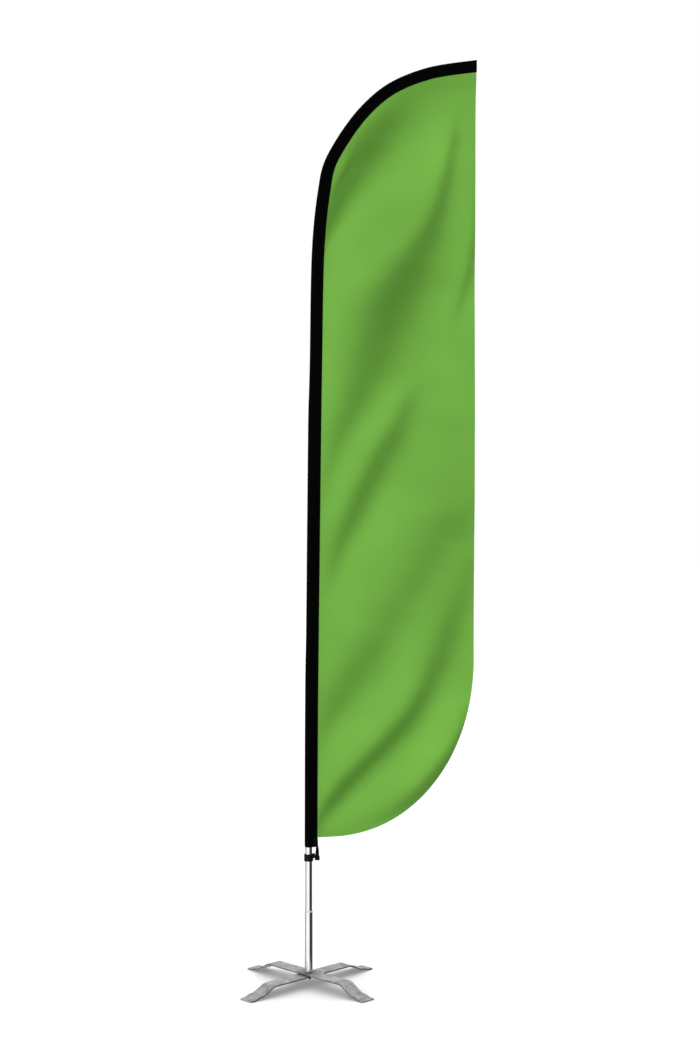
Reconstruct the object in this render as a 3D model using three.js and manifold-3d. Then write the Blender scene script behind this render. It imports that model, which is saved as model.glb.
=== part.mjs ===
// Feather flag: a tall sail sleeved on a bowed pole that turns on a folding cross base.
// Millimetres, +Z up. The pieces are laid out round the spindle's axis, which is x = 0, y = 0, with
// the floor at z = 0 and the sail on the +X side. At the end the whole flag is moved so that its
// box stands centred on the origin.

import * as THREE from 'three';
import { mergeVertices } from 'three/addons/utils/BufferGeometryUtils.js';
import Module from 'manifold-3d';

const wasm = await Module();
wasm.setup();

// ---- Driving dimensions ----

const fit = 0.3;                 // clearance between pieces that touch

const barReach = 308;            // base: centre to the end of a foot
const barWidth = 60;
const barThick = 5;
const barCorner = 4;             // rounded corners of a foot's end
const barBend = 9;               // how far from its corner each bend starts
const crossTop = 43.9;           // top of the crossing, where the upper bar lies
const flatReach = 194;           // centre to the bend where a bar turns down
const shelfStart = 247;          // the sloped leg meets a short shelf here
const shelfEnd = 263;
const shelfTop = 13;             // height of the shelf's upper face
const padStart = 287;            // the flat pad that stands on the floor starts here

const washerThick = 0.7;         // plastic washer between the bars
const washerRadius = 25;
const studRadius = 6;            // the stud's threaded shank, through both bars
const studFlangeThick = 2.5;
const studFlangeClear = 1.3;     // between the stud's flange and the spindle that turns round it
const nutAcrossFlats = 19;
const nutThick = 10;
const nutWasherRadius = 12;
const nutWasherThick = 2.5;
const threadEnd = 3;             // thread showing below the nut

const shaftRadius = 5;           // the stud's shaft, inside the bearings
const shoulderStep = 1.5;        // the step that the lower bearing stands on, out from the shaft
const shoulderRise = 3.3;        // height of that step above the stud's flange
const bearingRadius = 11;        // a thin-section ball bearing, 10 x 22 x 6
const bearingThick = 6;
const ballShare = 0.56;          // a ball's diameter as a share of the bearing's section
const landShare = 0.65;          // how far the races' shoulders stand from the balls' centres, in radii
const ballCount = 8;
const cageHalfWidth = 0.35;
const cageHeight = 2.2;
const bearingSpan = 180;         // from the lower bearing's top to the upper bearing's foot
const circlipThick = 1;
const circlipRim = 2;            // how far the circlip stands out from the shaft
const circlipDepth = 0.6;        // depth of its groove in the shaft
const shaftEnd = 2.3;            // shaft above the groove

const spindleWall = 1.5;         // wall of the spindle round its bearings
const spindleLedge = 2.3;        // how far its bore steps in between them
const spindleGap = 1.1;          // from the upper bar to the spindle's flange, which turns above it
const spindleFlangeThick = 2;
const ringSection = 1.2;         // radius of a rubber ring's section
const ringGrip = 0.4;            // how far the rings stand proud of the spindle
const ringInset = [50, 37];      // rings from the spindle's foot and from its top
const capLip = 3.2;              // straight edge of the spindle's cap
const capRise = 6;               // height of its dome
const capPlug = 5;               // how deep the cap goes into the spindle
const capGap = 1.1;              // from the stud's end to the cap

const poleWall = 1.4;            // wall of the aluminium poles
const bottomRadius = 13.25;      // outside radius of the bottom pole
const bellWall = 1.3;            // wall of its widened foot, which goes over the spindle
const bellHeadroom = 3.5;        // from the spindle's cap to the start of the bell's taper
const bellTaper = 8;
const bottomPoleTop = 1150;
const insertDepth = 90;          // how far a pole goes into the one below
const stopBead = 4;              // height of the mid pole's rolled bead
const midPoleTop = 2080;
const ferruleCollar = 12;        // the mid ferrule's collar, above the mid pole's rim
const ferruleWall = 1.55;
const upperTaperOff = 1.5;       // how much the fibreglass upper pole's radius tapers
const upperWall = 2;             // its wall at its thin end
const upperPoleTop = 2930;
const tipInsert = 60;
const tipTaperShare = 0.62;      // the tip pole's thin end as a share of its thick end
const tipFerruleWall = 0.95;
const tipFerruleDepth = 30;
const tipFerruleLip = 2.2;
const tipCapWall = 1.2;
const tipCapDepth = 15;

const straightTop = 560;         // below this height the pole is straight and upright
const flagReach = 612;           // spindle axis to the pole's end
const flagHeight = 3399.4;       // floor to the pole's end
const sleeveFoot = 506;          // bottom of the sleeve
const sleeveWall = 1.2;
const sleeveSlack = 0.6;         // room between the sleeve and the pole
const seamReachLow = 30;         // pole axis to the sail seam, at the sleeve's foot
const seamReachHigh = 36.5;      // and from the bend to the tip
const seamEdge = 1.5;            // half the sleeve's thickness at the seam
const seamMargin = 8;            // width of cloth sewn flat along the seam
const closedEnd = 20;            // cloth sewn flat past the end of the pocket
const padThick = 3;              // reinforcing pad between the pole's tip and the pocket's end

const sailThick = 1.2;
const sailFoot = 543;            // lowest point of the sail, at the sleeve
const sailCornerHeight = 1200;   // where the straight free edge starts to round off
const sailOverhang = 8.6;        // the free edge's top, past flagReach, where the sleeve is cut too
const sailEdgeLean = 10.1;       // how much nearer the pole the free edge is where it rounds off
const sailRoundness = 2.06;      // exponent of the rounded foot, 2 for an ellipse

const collarDrop = 26;           // from the sleeve's foot down to the collar
const collarHeight = 26;
const collarWall = 3.4;
const hookWeb = 5;               // thickness of the hook's web
const hookRise = 4;              // how far the web's root stands above the collar
const hookStep = 5;              // and how far its outer end lies below the collar's top
const saddleDrop = 16;           // from the collar's top to the axis of the saddle for the elastic
const saddleRadius = 6;
const lipThick = 2;
const elasticWidth = 13;
const elasticThick = 1.6;
const elasticSewn = 9;           // length of its two ends sewn together
const tabInset = 2;              // from the sleeve's foot to the tab, and from the tab to the sail
const tabWall = 1.4;
const tabWidth = 13;

const sides = 24;                // sides of every round piece, so that nested walls stay parallel

// ---- Materials ----

const finish = (color, roughness, metalness) =>
  new THREE.MeshStandardMaterial({ color, roughness, metalness });
const galvanised = () => finish(0x9a9b98, 0.45, 0.85);
const machinedSteel = () => finish(0xb9bcc0, 0.3, 1);
const bearingSteel = () => finish(0xc8cacc, 0.2, 1);
const aluminium = () => finish(0xe2e4e6, 0.22, 1);
const fibreglass = () => finish(0x1d1e20, 0.35, 0);
const blackPlastic = () => finish(0x101112, 0.5, 0);
const paleNylon = () => finish(0xd9d8d0, 0.55, 0);
const rubber = () => finish(0x0c0c0d, 0.8, 0);
const greenCloth = () => finish(0x72b047, 0.85, 0);
const blackCloth = () => finish(0x08080a, 0.9, 0);
const elasticWeb = () => finish(0x0d0d0f, 0.85, 0);

const flag = new THREE.Group();

function add(name, geometry, material) {
  const mesh = new THREE.Mesh(geometry, material);
  mesh.name = name;
  flag.add(mesh);
  return mesh;
}

// ---- Shapes ----

const mix = THREE.MathUtils.lerp;

// A closed geometry as a manifold solid, without the sliver triangles at a lathe's axis.
function toSolid(geometry) {
  const plain = geometry.clone();
  plain.deleteAttribute('normal');
  plain.deleteAttribute('uv');
  const merged = mergeVertices(plain, 1e-4);
  const kept = [];
  const index = merged.index.array;
  for (let i = 0; i < index.length; i += 3) {
    const [a, b, c] = [index[i], index[i + 1], index[i + 2]];
    if (a !== b && b !== c && c !== a) kept.push(a, b, c);
  }
  return new wasm.Manifold(new wasm.Mesh({
    numProp: 3,
    vertProperties: new Float32Array(merged.attributes.position.array),
    triVerts: new Uint32Array(kept),
  }));
}

function toGeometry(solid) {
  const mesh = solid.getMesh();
  const geometry = new THREE.BufferGeometry();
  geometry.setAttribute('position', new THREE.BufferAttribute(mesh.vertProperties, 3));
  geometry.setIndex(new THREE.BufferAttribute(mesh.triVerts, 1));
  geometry.computeVertexNormals();
  return geometry;
}

// A profile of [radius, height] pairs turned round Z. It goes up the outside, and either comes down
// the bore and closes on itself or starts and ends on the axis.
function turned(profile, count = sides) {
  const points = profile.map(([radius, height]) => new THREE.Vector2(radius, height));
  return new THREE.LatheGeometry(points, count).rotateX(Math.PI / 2);
}

function ring(bore, radius, foot, top) {
  return turned([[radius, foot], [radius, top], [bore, top], [bore, foot], [radius, foot]]);
}

function disc(radius, foot, top, count = sides) {
  return turned([[0, foot], [radius, foot], [radius, top], [0, top]], count);
}

// An outline in x and z, of a plate that stands along the XZ plane and is centred on y = 0.
function uprightPlate(shape, thickness) {
  const plate = new THREE.ExtrudeGeometry(shape, { depth: thickness, bevelEnabled: false, curveSegments: 8 });
  return plate.rotateX(Math.PI / 2).translate(0, thickness / 2, 0);
}

function block(xRange, yRange, zRange) {
  const [width, depth, height] = [xRange, yRange, zRange].map(([low, high]) => high - low);
  const box = new THREE.BoxGeometry(width, depth, height);
  return box.translate(xRange[0] + width / 2, yRange[0] + depth / 2, zRange[0] + height / 2);
}

// ---- The pole's bow ----
// The pole stands straight to straightTop, leans a little as it rises and bends over at the tip.
// Each pair is a share of the reach and a share of the rise above the straight stretch.

const bowShape = [
  [0, 0], [0.0021, 0.155], [0.0123, 0.4015], [0.0232, 0.6128], [0.0384, 0.7678], [0.0719, 0.8347],
  [0.1013, 0.8664], [0.1748, 0.8974], [0.3162, 0.9388], [0.482, 0.9694], [0.7116, 0.99], [1, 1],
  [1.05, 1.0012],
];
const rise = flagHeight - straightTop;
const bowCurve = new THREE.CatmullRomCurve3(
  bowShape.map(([out, up]) => new THREE.Vector3(flagReach * out, 0, straightTop + rise * up)),
  false, 'centripetal');
bowCurve.arcLengthDivisions = 2000;
const bowLength = straightTop + bowCurve.getLength();
const bendStart = straightTop + rise * 0.77;   // the bend is strong above this length of pole
const longStep = 160;
const shortStep = 40;

// Every bent piece has a joint at the same stations along the pole, so that nested walls bend alike.
const stations = [0, straightTop];
while (stations.at(-1) < bowLength) {
  const here = stations.at(-1);
  stations.push(Math.min(bowLength, here + (here < bendStart ? longStep : shortStep)));
}

const stationFrames = stations.map((along) => {
  if (along <= straightTop) {
    return { point: new THREE.Vector2(0, along), inward: new THREE.Vector2(1, 0) };
  }
  const share = (along - straightTop) / (bowLength - straightTop);
  const point = bowCurve.getPointAt(share);
  const tangent = bowCurve.getTangentAt(share);
  return { point: new THREE.Vector2(point.x, point.z), inward: new THREE.Vector2(tangent.z, -tangent.x) };
});

// The point at a length along the pole and a distance from its axis towards the sail, in x and z.
function bowPoint(along, offset = 0) {
  let i = 0;
  while (i < stations.length - 2 && stations[i + 1] < along) i += 1;
  const share = (along - stations[i]) / (stations[i + 1] - stations[i]);
  const point = stationFrames[i].point.clone().lerp(stationFrames[i + 1].point, share);
  const inward = stationFrames[i].inward.clone().lerp(stationFrames[i + 1].inward, share);
  return point.addScaledVector(inward, offset);
}

// Bends a geometry made straight up Z, x towards the sail, along the bow.
function alongBow(geometry) {
  const position = geometry.attributes.position;
  for (let i = 0; i < position.count; i += 1) {
    const bent = bowPoint(position.getZ(i), position.getX(i));
    position.setXYZ(i, bent.x, position.getY(i), bent.y);
  }
  geometry.computeVertexNormals();
  return geometry;
}

// The stations that lie between two lengths along the pole, in the order of travel.
function stationsBetween(start, end) {
  const clear = 0.5;
  const inside = stations.filter((s) => s > Math.min(start, end) + clear && s < Math.max(start, end) - clear);
  return start < end ? inside : inside.reverse();
}

function bentRound(profile, count = sides) {
  const full = [];
  profile.forEach(([radius, along], i) => {
    full.push([radius, along]);
    if (i === profile.length - 1) return;
    const [nextRadius, nextAlong] = profile[i + 1];
    for (const station of stationsBetween(along, nextAlong)) {
      full.push([mix(radius, nextRadius, (station - along) / (nextAlong - along)), station]);
    }
  });
  return alongBow(turned(full, count));
}

// The length along the pole where a line at this offset from it reaches a given x.
function lengthWhere(x, offset) {
  let low = bendStart;
  let high = bowLength;
  for (let i = 0; i < 40; i += 1) {
    const middle = (low + high) / 2;
    if (bowPoint(middle, offset).x < x) low = middle;
    else high = middle;
  }
  return low;
}

// ---- Base ----

const barPitch = barThick + washerThick + 2 * fit;
const lowerBarTop = crossTop - barPitch;
const lowerBarFoot = lowerBarTop - barThick;

// A flat strip bent down to a foot at each end, lying along X before it is turned to its diagonal.
function bentBar(top, turn) {
  const half = [
    [flatReach, top], [shelfStart, shelfTop], [shelfEnd, shelfTop],
    [padStart, barThick], [barReach, barThick],
  ].map(([out, height]) => new THREE.Vector2(out, height - barThick / 2));
  const corners = [...half.map((c) => new THREE.Vector2(-c.x, c.y)).reverse(), ...half];
  const centre = new THREE.Path();
  centre.moveTo(corners[0].x, corners[0].y);
  for (let i = 1; i < corners.length - 1; i += 1) {
    const corner = corners[i];
    const [before, after] = [corners[i - 1], corners[i + 1]].map((end) => {
      const reach = Math.min(barBend, corner.distanceTo(end) / 2);
      return corner.clone().lerp(end, reach / corner.distanceTo(end));
    });
    centre.lineTo(before.x, before.y);
    centre.quadraticCurveTo(corner.x, corner.y, after.x, after.y);
  }
  centre.lineTo(corners.at(-1).x, corners.at(-1).y);
  const line = centre.getPoints(3);
  const edge = (side) => line.map((point, i) => {
    const before = point.clone().sub(line[Math.max(i - 1, 0)]).normalize();
    const after = line[Math.min(i + 1, line.length - 1)].clone().sub(point).normalize();
    const along = before.clone().add(after).normalize();
    const square = new THREE.Vector2(-along.y, along.x);
    const full = i === 0 || i === line.length - 1 ? 1 : before.dot(along);
    return point.clone().addScaledVector(square, side * barThick / 2 / full);
  });
  const strip = uprightPlate(new THREE.Shape([...edge(-1), ...edge(1).reverse()]), barWidth);
  const plan = new THREE.Shape();
  const [x, y, r] = [barReach, barWidth / 2, barCorner];
  plan.moveTo(-x + r, -y);
  plan.lineTo(x - r, -y).absarc(x - r, -y + r, r, -Math.PI / 2, 0);
  plan.lineTo(x, y - r).absarc(x - r, y - r, r, 0, Math.PI / 2);
  plan.lineTo(-x + r, y).absarc(-x + r, y - r, r, Math.PI / 2, Math.PI);
  plan.lineTo(-x, -y + r).absarc(-x + r, -y + r, r, Math.PI, Math.PI * 1.5);
  const trim = new THREE.ExtrudeGeometry(plan, { depth: top + 2, bevelEnabled: false, curveSegments: 3 });
  const hole = disc(studRadius + fit, top - 2 * barThick, top + barThick);
  const bar = toSolid(strip).intersect(toSolid(trim.translate(0, 0, -1))).subtract(toSolid(hole));
  return toGeometry(bar).rotateZ(turn);
}

add('lower_bar', bentBar(lowerBarTop, Math.PI / 4), galvanised());
add('upper_bar', bentBar(crossTop, -Math.PI / 4), galvanised());
const barWasherFoot = lowerBarTop + fit;
add('bar_washer', ring(studRadius + fit, washerRadius, barWasherFoot, barWasherFoot + washerThick),
  paleNylon());

const nutWasherTop = lowerBarFoot - fit;
const nutTop = nutWasherTop - nutWasherThick - fit;
const nutFoot = nutTop - nutThick;
add('pivot_washer', ring(studRadius + fit, nutWasherRadius, nutWasherTop - nutWasherThick, nutWasherTop),
  machinedSteel());

function hexNut() {
  const hexagon = new THREE.Shape();
  const corner = nutAcrossFlats / 2 / Math.cos(Math.PI / 6);
  const points = Array.from({ length: 6 }, (_, i) => {
    const angle = i * Math.PI / 3;
    return new THREE.Vector2(corner * Math.cos(angle), corner * Math.sin(angle));
  });
  hexagon.setFromPoints(points);
  const bore = new THREE.Path();
  bore.absarc(0, 0, studRadius + fit, 0, 2 * Math.PI, true);
  hexagon.holes.push(bore);
  const nut = new THREE.ExtrudeGeometry(hexagon,
    { depth: nutThick, bevelEnabled: false, curveSegments: sides / 2 });
  return nut.translate(0, 0, nutFoot);
}
add('pivot_nut', hexNut(), machinedSteel());

// ---- Stud and bearings ----

const flangeFoot = crossTop + fit;
const studFlangeRadius = bearingRadius + fit - studFlangeClear;
const shoulderRadius = shaftRadius + shoulderStep;
const shoulderTop = flangeFoot + studFlangeThick + shoulderRise;
const lowerBearing = shoulderTop + fit;
const upperBearing = lowerBearing + bearingThick + bearingSpan;
const circlipFoot = upperBearing + bearingThick + fit;
const grooveTop = circlipFoot + circlipThick + fit;
const studTop = grooveTop + shaftEnd;

function pivotStud() {
  const grooveRadius = shaftRadius - circlipDepth;
  return turned([
    [0, nutFoot - threadEnd], [studRadius - 1, nutFoot - threadEnd], [studRadius, nutFoot - threadEnd + 1],
    [studRadius, flangeFoot], [studFlangeRadius, flangeFoot],
    [studFlangeRadius, flangeFoot + studFlangeThick], [shoulderRadius, flangeFoot + studFlangeThick],
    [shoulderRadius, shoulderTop], [shaftRadius, shoulderTop],
    [shaftRadius, circlipFoot - fit], [grooveRadius, circlipFoot - fit],
    [grooveRadius, grooveTop], [shaftRadius, grooveTop], [shaftRadius, studTop], [0, studTop],
  ]);
}
add('pivot_stud', pivotStud(), machinedSteel());

const raceBore = shaftRadius + fit;
const pitchRadius = (raceBore + bearingRadius) / 2;   // circle of the balls' centres
const ballRadius = ballShare * (bearingRadius - raceBore) / 2;
const innerLand = pitchRadius - landShare * ballRadius;
const outerLand = pitchRadius + landShare * ballRadius;

// The groove that the balls run in, as [radius, height] pairs up the inner race or down the outer one.
function raceGroove(middle, side) {
  const radius = ballRadius + fit;
  const opening = Math.acos(landShare * ballRadius / radius);
  return [-1, -0.5, 0, 0.5, 1].map((share) => {
    const angle = opening * share;
    return [pitchRadius + side * radius * Math.cos(angle), middle - side * radius * Math.sin(angle)];
  });
}

function innerRace(foot) {
  const top = foot + bearingThick;
  return turned([
    [innerLand, foot], ...raceGroove(foot + bearingThick / 2, -1), [innerLand, top],
    [raceBore, top], [raceBore, foot], [innerLand, foot],
  ]);
}

function outerRace(foot) {
  const top = foot + bearingThick;
  return turned([
    [bearingRadius, foot], [bearingRadius, top], [outerLand, top], ...raceGroove(foot + bearingThick / 2, 1),
    [outerLand, foot], [bearingRadius, foot],
  ]);
}

function ballSet(foot) {
  const middle = foot + bearingThick / 2;
  let set = toSolid(ring(pitchRadius - cageHalfWidth, pitchRadius + cageHalfWidth,
    middle - cageHeight / 2, middle + cageHeight / 2));
  for (let i = 0; i < ballCount; i += 1) {
    const angle = 2 * Math.PI * i / ballCount;
    const ball = new THREE.OctahedronGeometry(ballRadius, 1);
    ball.translate(pitchRadius * Math.cos(angle), pitchRadius * Math.sin(angle), middle);
    set = set.add(toSolid(ball));
  }
  return toGeometry(set);
}

for (const [place, foot] of [['lower', lowerBearing], ['upper', upperBearing]]) {
  add(`${place}_inner_race`, innerRace(foot), bearingSteel());
  add(`${place}_outer_race`, outerRace(foot), bearingSteel());
  add(`${place}_ball_set`, ballSet(foot), bearingSteel());
}
const circlipBore = shaftRadius - circlipDepth + fit;
add('stud_circlip',
  ring(circlipBore, shaftRadius + circlipRim, circlipFoot, circlipFoot + circlipThick),
  machinedSteel());

// ---- Spindle ----

const spindleFoot = crossTop + spindleGap;
const spindleTop = studTop + capGap + capPlug - fit;
const ringHeights = [spindleFoot + ringInset[0], spindleTop - ringInset[1]];
const seatRadius = bearingRadius + fit;
const spindleBore = seatRadius - spindleLedge;
const spindleRadius = seatRadius + spindleWall;
const bellBore = spindleRadius + ringGrip + fit;
const bellRadius = bellBore + bellWall;
const flangeTop = spindleFoot + spindleFlangeThick;
const ringCentre = spindleRadius + ringGrip - ringSection;

function spindleTube() {
  const grooveRadius = ringCentre - ringSection - fit;
  const halfGroove = ringSection + fit;
  const grooves = ringHeights.flatMap((height) => [
    [spindleRadius, height - halfGroove], [grooveRadius, height - halfGroove],
    [grooveRadius, height + halfGroove], [spindleRadius, height + halfGroove],
  ]);
  const lowerLedge = lowerBearing + bearingThick + fit;
  const upperLedge = upperBearing - fit;
  return turned([
    [bellRadius, spindleFoot], [bellRadius, flangeTop], [spindleRadius, flangeTop], ...grooves,
    [spindleRadius, spindleTop], [seatRadius, spindleTop],
    [seatRadius, upperLedge], [spindleBore, upperLedge],
    [spindleBore, lowerLedge], [seatRadius, lowerLedge], [seatRadius, spindleFoot], [bellRadius, spindleFoot],
  ]);
}
add('spindle_tube', spindleTube(), machinedSteel());

ringHeights.forEach((height, i) => {
  const rubberRing = new THREE.TorusGeometry(ringCentre, ringSection, 8, sides);
  add(`spindle_ring_${i + 1}`, rubberRing.translate(0, 0, height), rubber());
});

function spindleCap() {
  const plugRadius = seatRadius - fit;
  const lipFoot = spindleTop + fit;
  const lipTop = lipFoot + capLip;
  const dome = [1, 2, 3, 4].map((step) => {
    const angle = step * Math.PI / 8;
    return [spindleRadius * Math.cos(angle), lipTop + capRise * Math.sin(angle)];
  });
  dome.at(-1)[0] = 0;
  return turned([
    [0, lipFoot - capPlug], [plugRadius, lipFoot - capPlug], [plugRadius, lipFoot], [spindleRadius, lipFoot],
    [spindleRadius, lipTop], ...dome,
  ]);
}
add('spindle_cap', spindleCap(), blackPlastic());

// ---- Poles ----

const bellTop = spindleTop + fit + capLip + capRise + bellHeadroom + bellTaper;
const bottomBore = bottomRadius - poleWall;
const midRadius = bottomBore - fit;
const midBore = midRadius - poleWall;
const ferruleRadius = midBore - fit;
const upperRadiusLow = ferruleRadius - ferruleWall - fit;
const upperRadiusHigh = upperRadiusLow - upperTaperOff;
const upperBore = upperRadiusHigh - upperWall;
const tipRadiusLow = upperBore - fit;
const tipRadiusHigh = tipRadiusLow * tipTaperShare;
const poleFoot = flangeTop + fit;
const midFoot = bottomPoleTop - insertDepth;
const beadFoot = bottomPoleTop + fit;
const ferruleFoot = midPoleTop - insertDepth;
const collarRest = midPoleTop + fit;
const tipFoot = upperPoleTop - tipInsert;
const sailTopReach = flagReach + sailOverhang;
const pocketEnd = lengthWhere(sailTopReach - closedEnd, 0);
const tipCapEnd = pocketEnd - padThick - 2 * fit;
const poleEnd = tipCapEnd - 2 * tipCapWall - fit;

add('bottom_pole', bentRound([
  [bellRadius, poleFoot], [bellRadius, bellTop - bellTaper],
  [bottomRadius, bellTop], [bottomRadius, bottomPoleTop],
  [bottomBore, bottomPoleTop], [bottomBore, bellTop + bellWall], [bellBore, bellTop - bellTaper + bellWall],
  [bellBore, poleFoot], [bellRadius, poleFoot],
]), aluminium());

add('mid_pole', bentRound([
  [midRadius, midFoot], [midRadius, beadFoot], [bottomRadius, beadFoot], [bottomRadius, beadFoot + stopBead],
  [midRadius, beadFoot + stopBead], [midRadius, midPoleTop], [midBore, midPoleTop], [midBore, midFoot],
  [midRadius, midFoot],
]), aluminium());

const ferruleBore = upperRadiusLow + fit;
add('mid_ferrule', bentRound([
  [ferruleRadius, ferruleFoot], [ferruleRadius, collarRest], [midRadius, collarRest],
  [midRadius, collarRest + ferruleCollar], [ferruleBore, collarRest + ferruleCollar],
  [ferruleBore, ferruleFoot], [ferruleRadius, ferruleFoot],
]), aluminium());

add('upper_pole', bentRound([
  [upperRadiusLow, ferruleFoot], [upperRadiusHigh, upperPoleTop], [upperBore, upperPoleTop],
  [upperBore, ferruleFoot], [upperRadiusLow, ferruleFoot],
]), fibreglass());

const upperTaper = (upperRadiusLow - upperRadiusHigh) / (upperPoleTop - ferruleFoot);
const tipFerruleFoot = upperPoleTop - tipFerruleDepth;
const tipFerruleBore = upperRadiusHigh + upperTaper * tipFerruleDepth + fit;
const tipFerruleRadius = tipFerruleBore + tipFerruleWall;
add('tip_ferrule', bentRound([
  [tipFerruleRadius, tipFerruleFoot], [tipFerruleRadius, upperPoleTop + fit + tipFerruleLip],
  [upperBore, upperPoleTop + fit + tipFerruleLip], [upperBore, upperPoleTop + fit],
  [tipFerruleBore, upperPoleTop + fit], [tipFerruleBore, tipFerruleFoot], [tipFerruleRadius, tipFerruleFoot],
]), aluminium());

add('tip_pole', bentRound([
  [0, tipFoot], [tipRadiusLow, tipFoot], [tipRadiusHigh, poleEnd], [0, poleEnd],
], sides / 2), fibreglass());

const tipTaper = (tipRadiusLow - tipRadiusHigh) / (poleEnd - tipFoot);
const tipCapBore = tipRadiusHigh + tipTaper * tipCapDepth + fit;
const tipCapRadius = tipCapBore + tipCapWall;
add('tip_cap', bentRound([
  [tipCapRadius, poleEnd - tipCapDepth], [tipCapRadius, tipCapEnd - tipCapWall],
  [tipCapRadius - tipCapWall, tipCapEnd], [0, tipCapEnd], [0, poleEnd + fit], [tipCapBore, poleEnd + fit],
  [tipCapBore, poleEnd - tipCapDepth], [tipCapRadius, poleEnd - tipCapDepth],
], sides / 2), rubber());

// ---- Sleeve ----
// Its section is a teardrop: round behind the pole, then straight to the seam on the sail's side.

// The widest piece inside the sleeve at a length along the pole.
function mastRadius(along) {
  if (along < beadFoot + stopBead) return bottomRadius;
  if (along < collarRest + ferruleCollar) return midRadius;
  if (along < upperPoleTop + tipFerruleLip + fit) return tipFerruleRadius;
  return tipRadiusLow + (tipCapRadius - tipRadiusHigh);
}

// At a station the sleeve also clears what is inside it on either side, up to the next station.
function sleeveBore(along) {
  const before = stations.filter((s) => s < along).at(-1) ?? along;
  const after = stations.find((s) => s > along) ?? along;
  return sleeveSlack + Math.max(...[before, along, after].map(mastRadius));
}

function seamReach(along) {
  const share = THREE.MathUtils.clamp((along - sleeveFoot) / (bendStart - sleeveFoot), 0, 1);
  return mix(seamReachLow, seamReachHigh, share);
}

// A solid of the teardrop section from one length along the pole to another. The section grows by
// the given amount round the sleeve's bore, and its sharp end lies at the seam plus edgeShift.
function teardropSweep(start, end, grow, edgeShift, edgeHalf) {
  const steps = [start, ...stationsBetween(start, end), end];
  const arcSteps = 7;
  const unit = [new THREE.Vector2(1, -1), new THREE.Vector2(1, 1)];
  for (let i = 0; i <= 2 * arcSteps; i += 1) {
    const angle = Math.PI / 2 + Math.PI * i / (2 * arcSteps);
    unit.push(new THREE.Vector2(Math.cos(angle), Math.sin(angle)));
  }
  const depth = steps.length - 1;
  const straight = new THREE.ExtrudeGeometry(new THREE.Shape(unit),
    { depth, steps: depth, bevelEnabled: false });
  const position = straight.attributes.position;
  for (let i = 0; i < position.count; i += 1) {
    const along = steps[Math.round(position.getZ(i))];
    const [x, y] = [position.getX(i), position.getY(i)];
    const nose = sleeveBore(along) + grow;
    const reach = seamReach(along) + edgeShift;
    if (x > 0.5) {
      position.setXYZ(i, reach, Math.sign(y) * edgeHalf, along);
    } else {
      const tangent = Math.acos(nose / reach);
      const turn = Math.atan2(Math.abs(y), x);
      const angle = tangent + (Math.PI - tangent) * (turn - Math.PI / 2) / (Math.PI / 2);
      position.setXYZ(i, nose * Math.cos(angle), Math.sign(y) * nose * Math.sin(angle), along);
    }
  }
  return toSolid(alongBow(straight));
}

const farAway = 2 * flagHeight;

function poleSleeve() {
  const outside = teardropSweep(sleeveFoot, bowLength, sleeveWall, 0, seamEdge);
  const pocket = teardropSweep(sleeveFoot - 1, pocketEnd, 0, -seamMargin, fit);
  const pastTheEnd = block([sailTopReach, farAway], [-farAway, farAway], [0, farAway]);
  return toGeometry(outside.subtract(pocket).subtract(toSolid(pastTheEnd)));
}
add('pole_sleeve', poleSleeve(), blackCloth());
const padFoot = tipCapEnd + fit;
add('tip_pad',
  toGeometry(teardropSweep(padFoot, padFoot + padThick, -fit, -seamMargin - 2 * fit, fit / 2)),
  blackCloth());

// ---- Sail ----

function sailPlate() {
  const seamSide = (along) => bowPoint(along, seamReach(along) + fit);
  const top = lengthWhere(sailTopReach, seamReachHigh + fit);
  const outline = [sailFoot, ...stationsBetween(sailFoot, top), top].map(seamSide);
  const corner = new THREE.Vector2(sailTopReach - sailEdgeLean, sailCornerHeight);
  outline.push(corner);
  const foot = outline[0];
  const [width, height] = [corner.x - foot.x, corner.y - foot.y];
  const roundSteps = 24;
  for (let i = 1; i < roundSteps; i += 1) {
    const angle = Math.PI / 2 * i / roundSteps;
    const across = Math.cos(angle) ** (2 / sailRoundness);
    const down = Math.sin(angle) ** (2 / sailRoundness);
    outline.push(new THREE.Vector2(foot.x + width * across, corner.y - height * down));
  }
  return uprightPlate(new THREE.Shape(outline), sailThick);
}
add('sail', sailPlate(), greenCloth());

// ---- Tension collar, elastic loop and its tab ----

const saddleStart = seamReachLow + tabWall - elasticWidth / 2;
const saddleEnd = saddleStart + elasticWidth + 2 * fit;
const hookReach = saddleEnd + 2 * lipThick;
const collarTop = sleeveFoot - collarDrop;
const saddleHeight = collarTop - saddleDrop;

function tensionCollar() {
  const collarFoot = collarTop - collarHeight;
  const hookTop = collarTop + hookRise;
  const outside = bottomRadius + fit + collarWall;
  const web = new THREE.Shape();
  const insideBand = bottomRadius + fit + collarWall / 2;
  web.moveTo(insideBand, saddleHeight);
  web.lineTo(hookReach - lipThick / 2, saddleHeight);
  web.lineTo(hookReach - lipThick / 2, collarTop - hookStep);
  web.lineTo(saddleStart, collarTop - hookStep);
  web.lineTo(saddleStart - 3, hookTop);
  web.lineTo(outside, hookTop);
  web.lineTo(insideBand, collarTop - 2);
  const alongX = (radius, start, end) =>
    disc(radius, start, end, 16).rotateY(Math.PI / 2).translate(0, 0, saddleHeight);
  const lipRadius = saddleRadius + fit + elasticThick;
  const bore = disc(bottomRadius + fit, collarFoot - 1, hookTop + 1);
  const parts = [
    uprightPlate(web, hookWeb), alongX(saddleRadius, saddleStart - 1, hookReach - 1),
    alongX(lipRadius, saddleEnd, hookReach), alongX(lipRadius, saddleStart - lipThick, saddleStart),
  ];
  const band = toSolid(disc(outside, collarFoot, collarTop));
  return toGeometry(parts.reduce((whole, part) => whole.add(toSolid(part)), band).subtract(toSolid(bore)));
}
add('tension_collar', tensionCollar(), blackPlastic());

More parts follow.
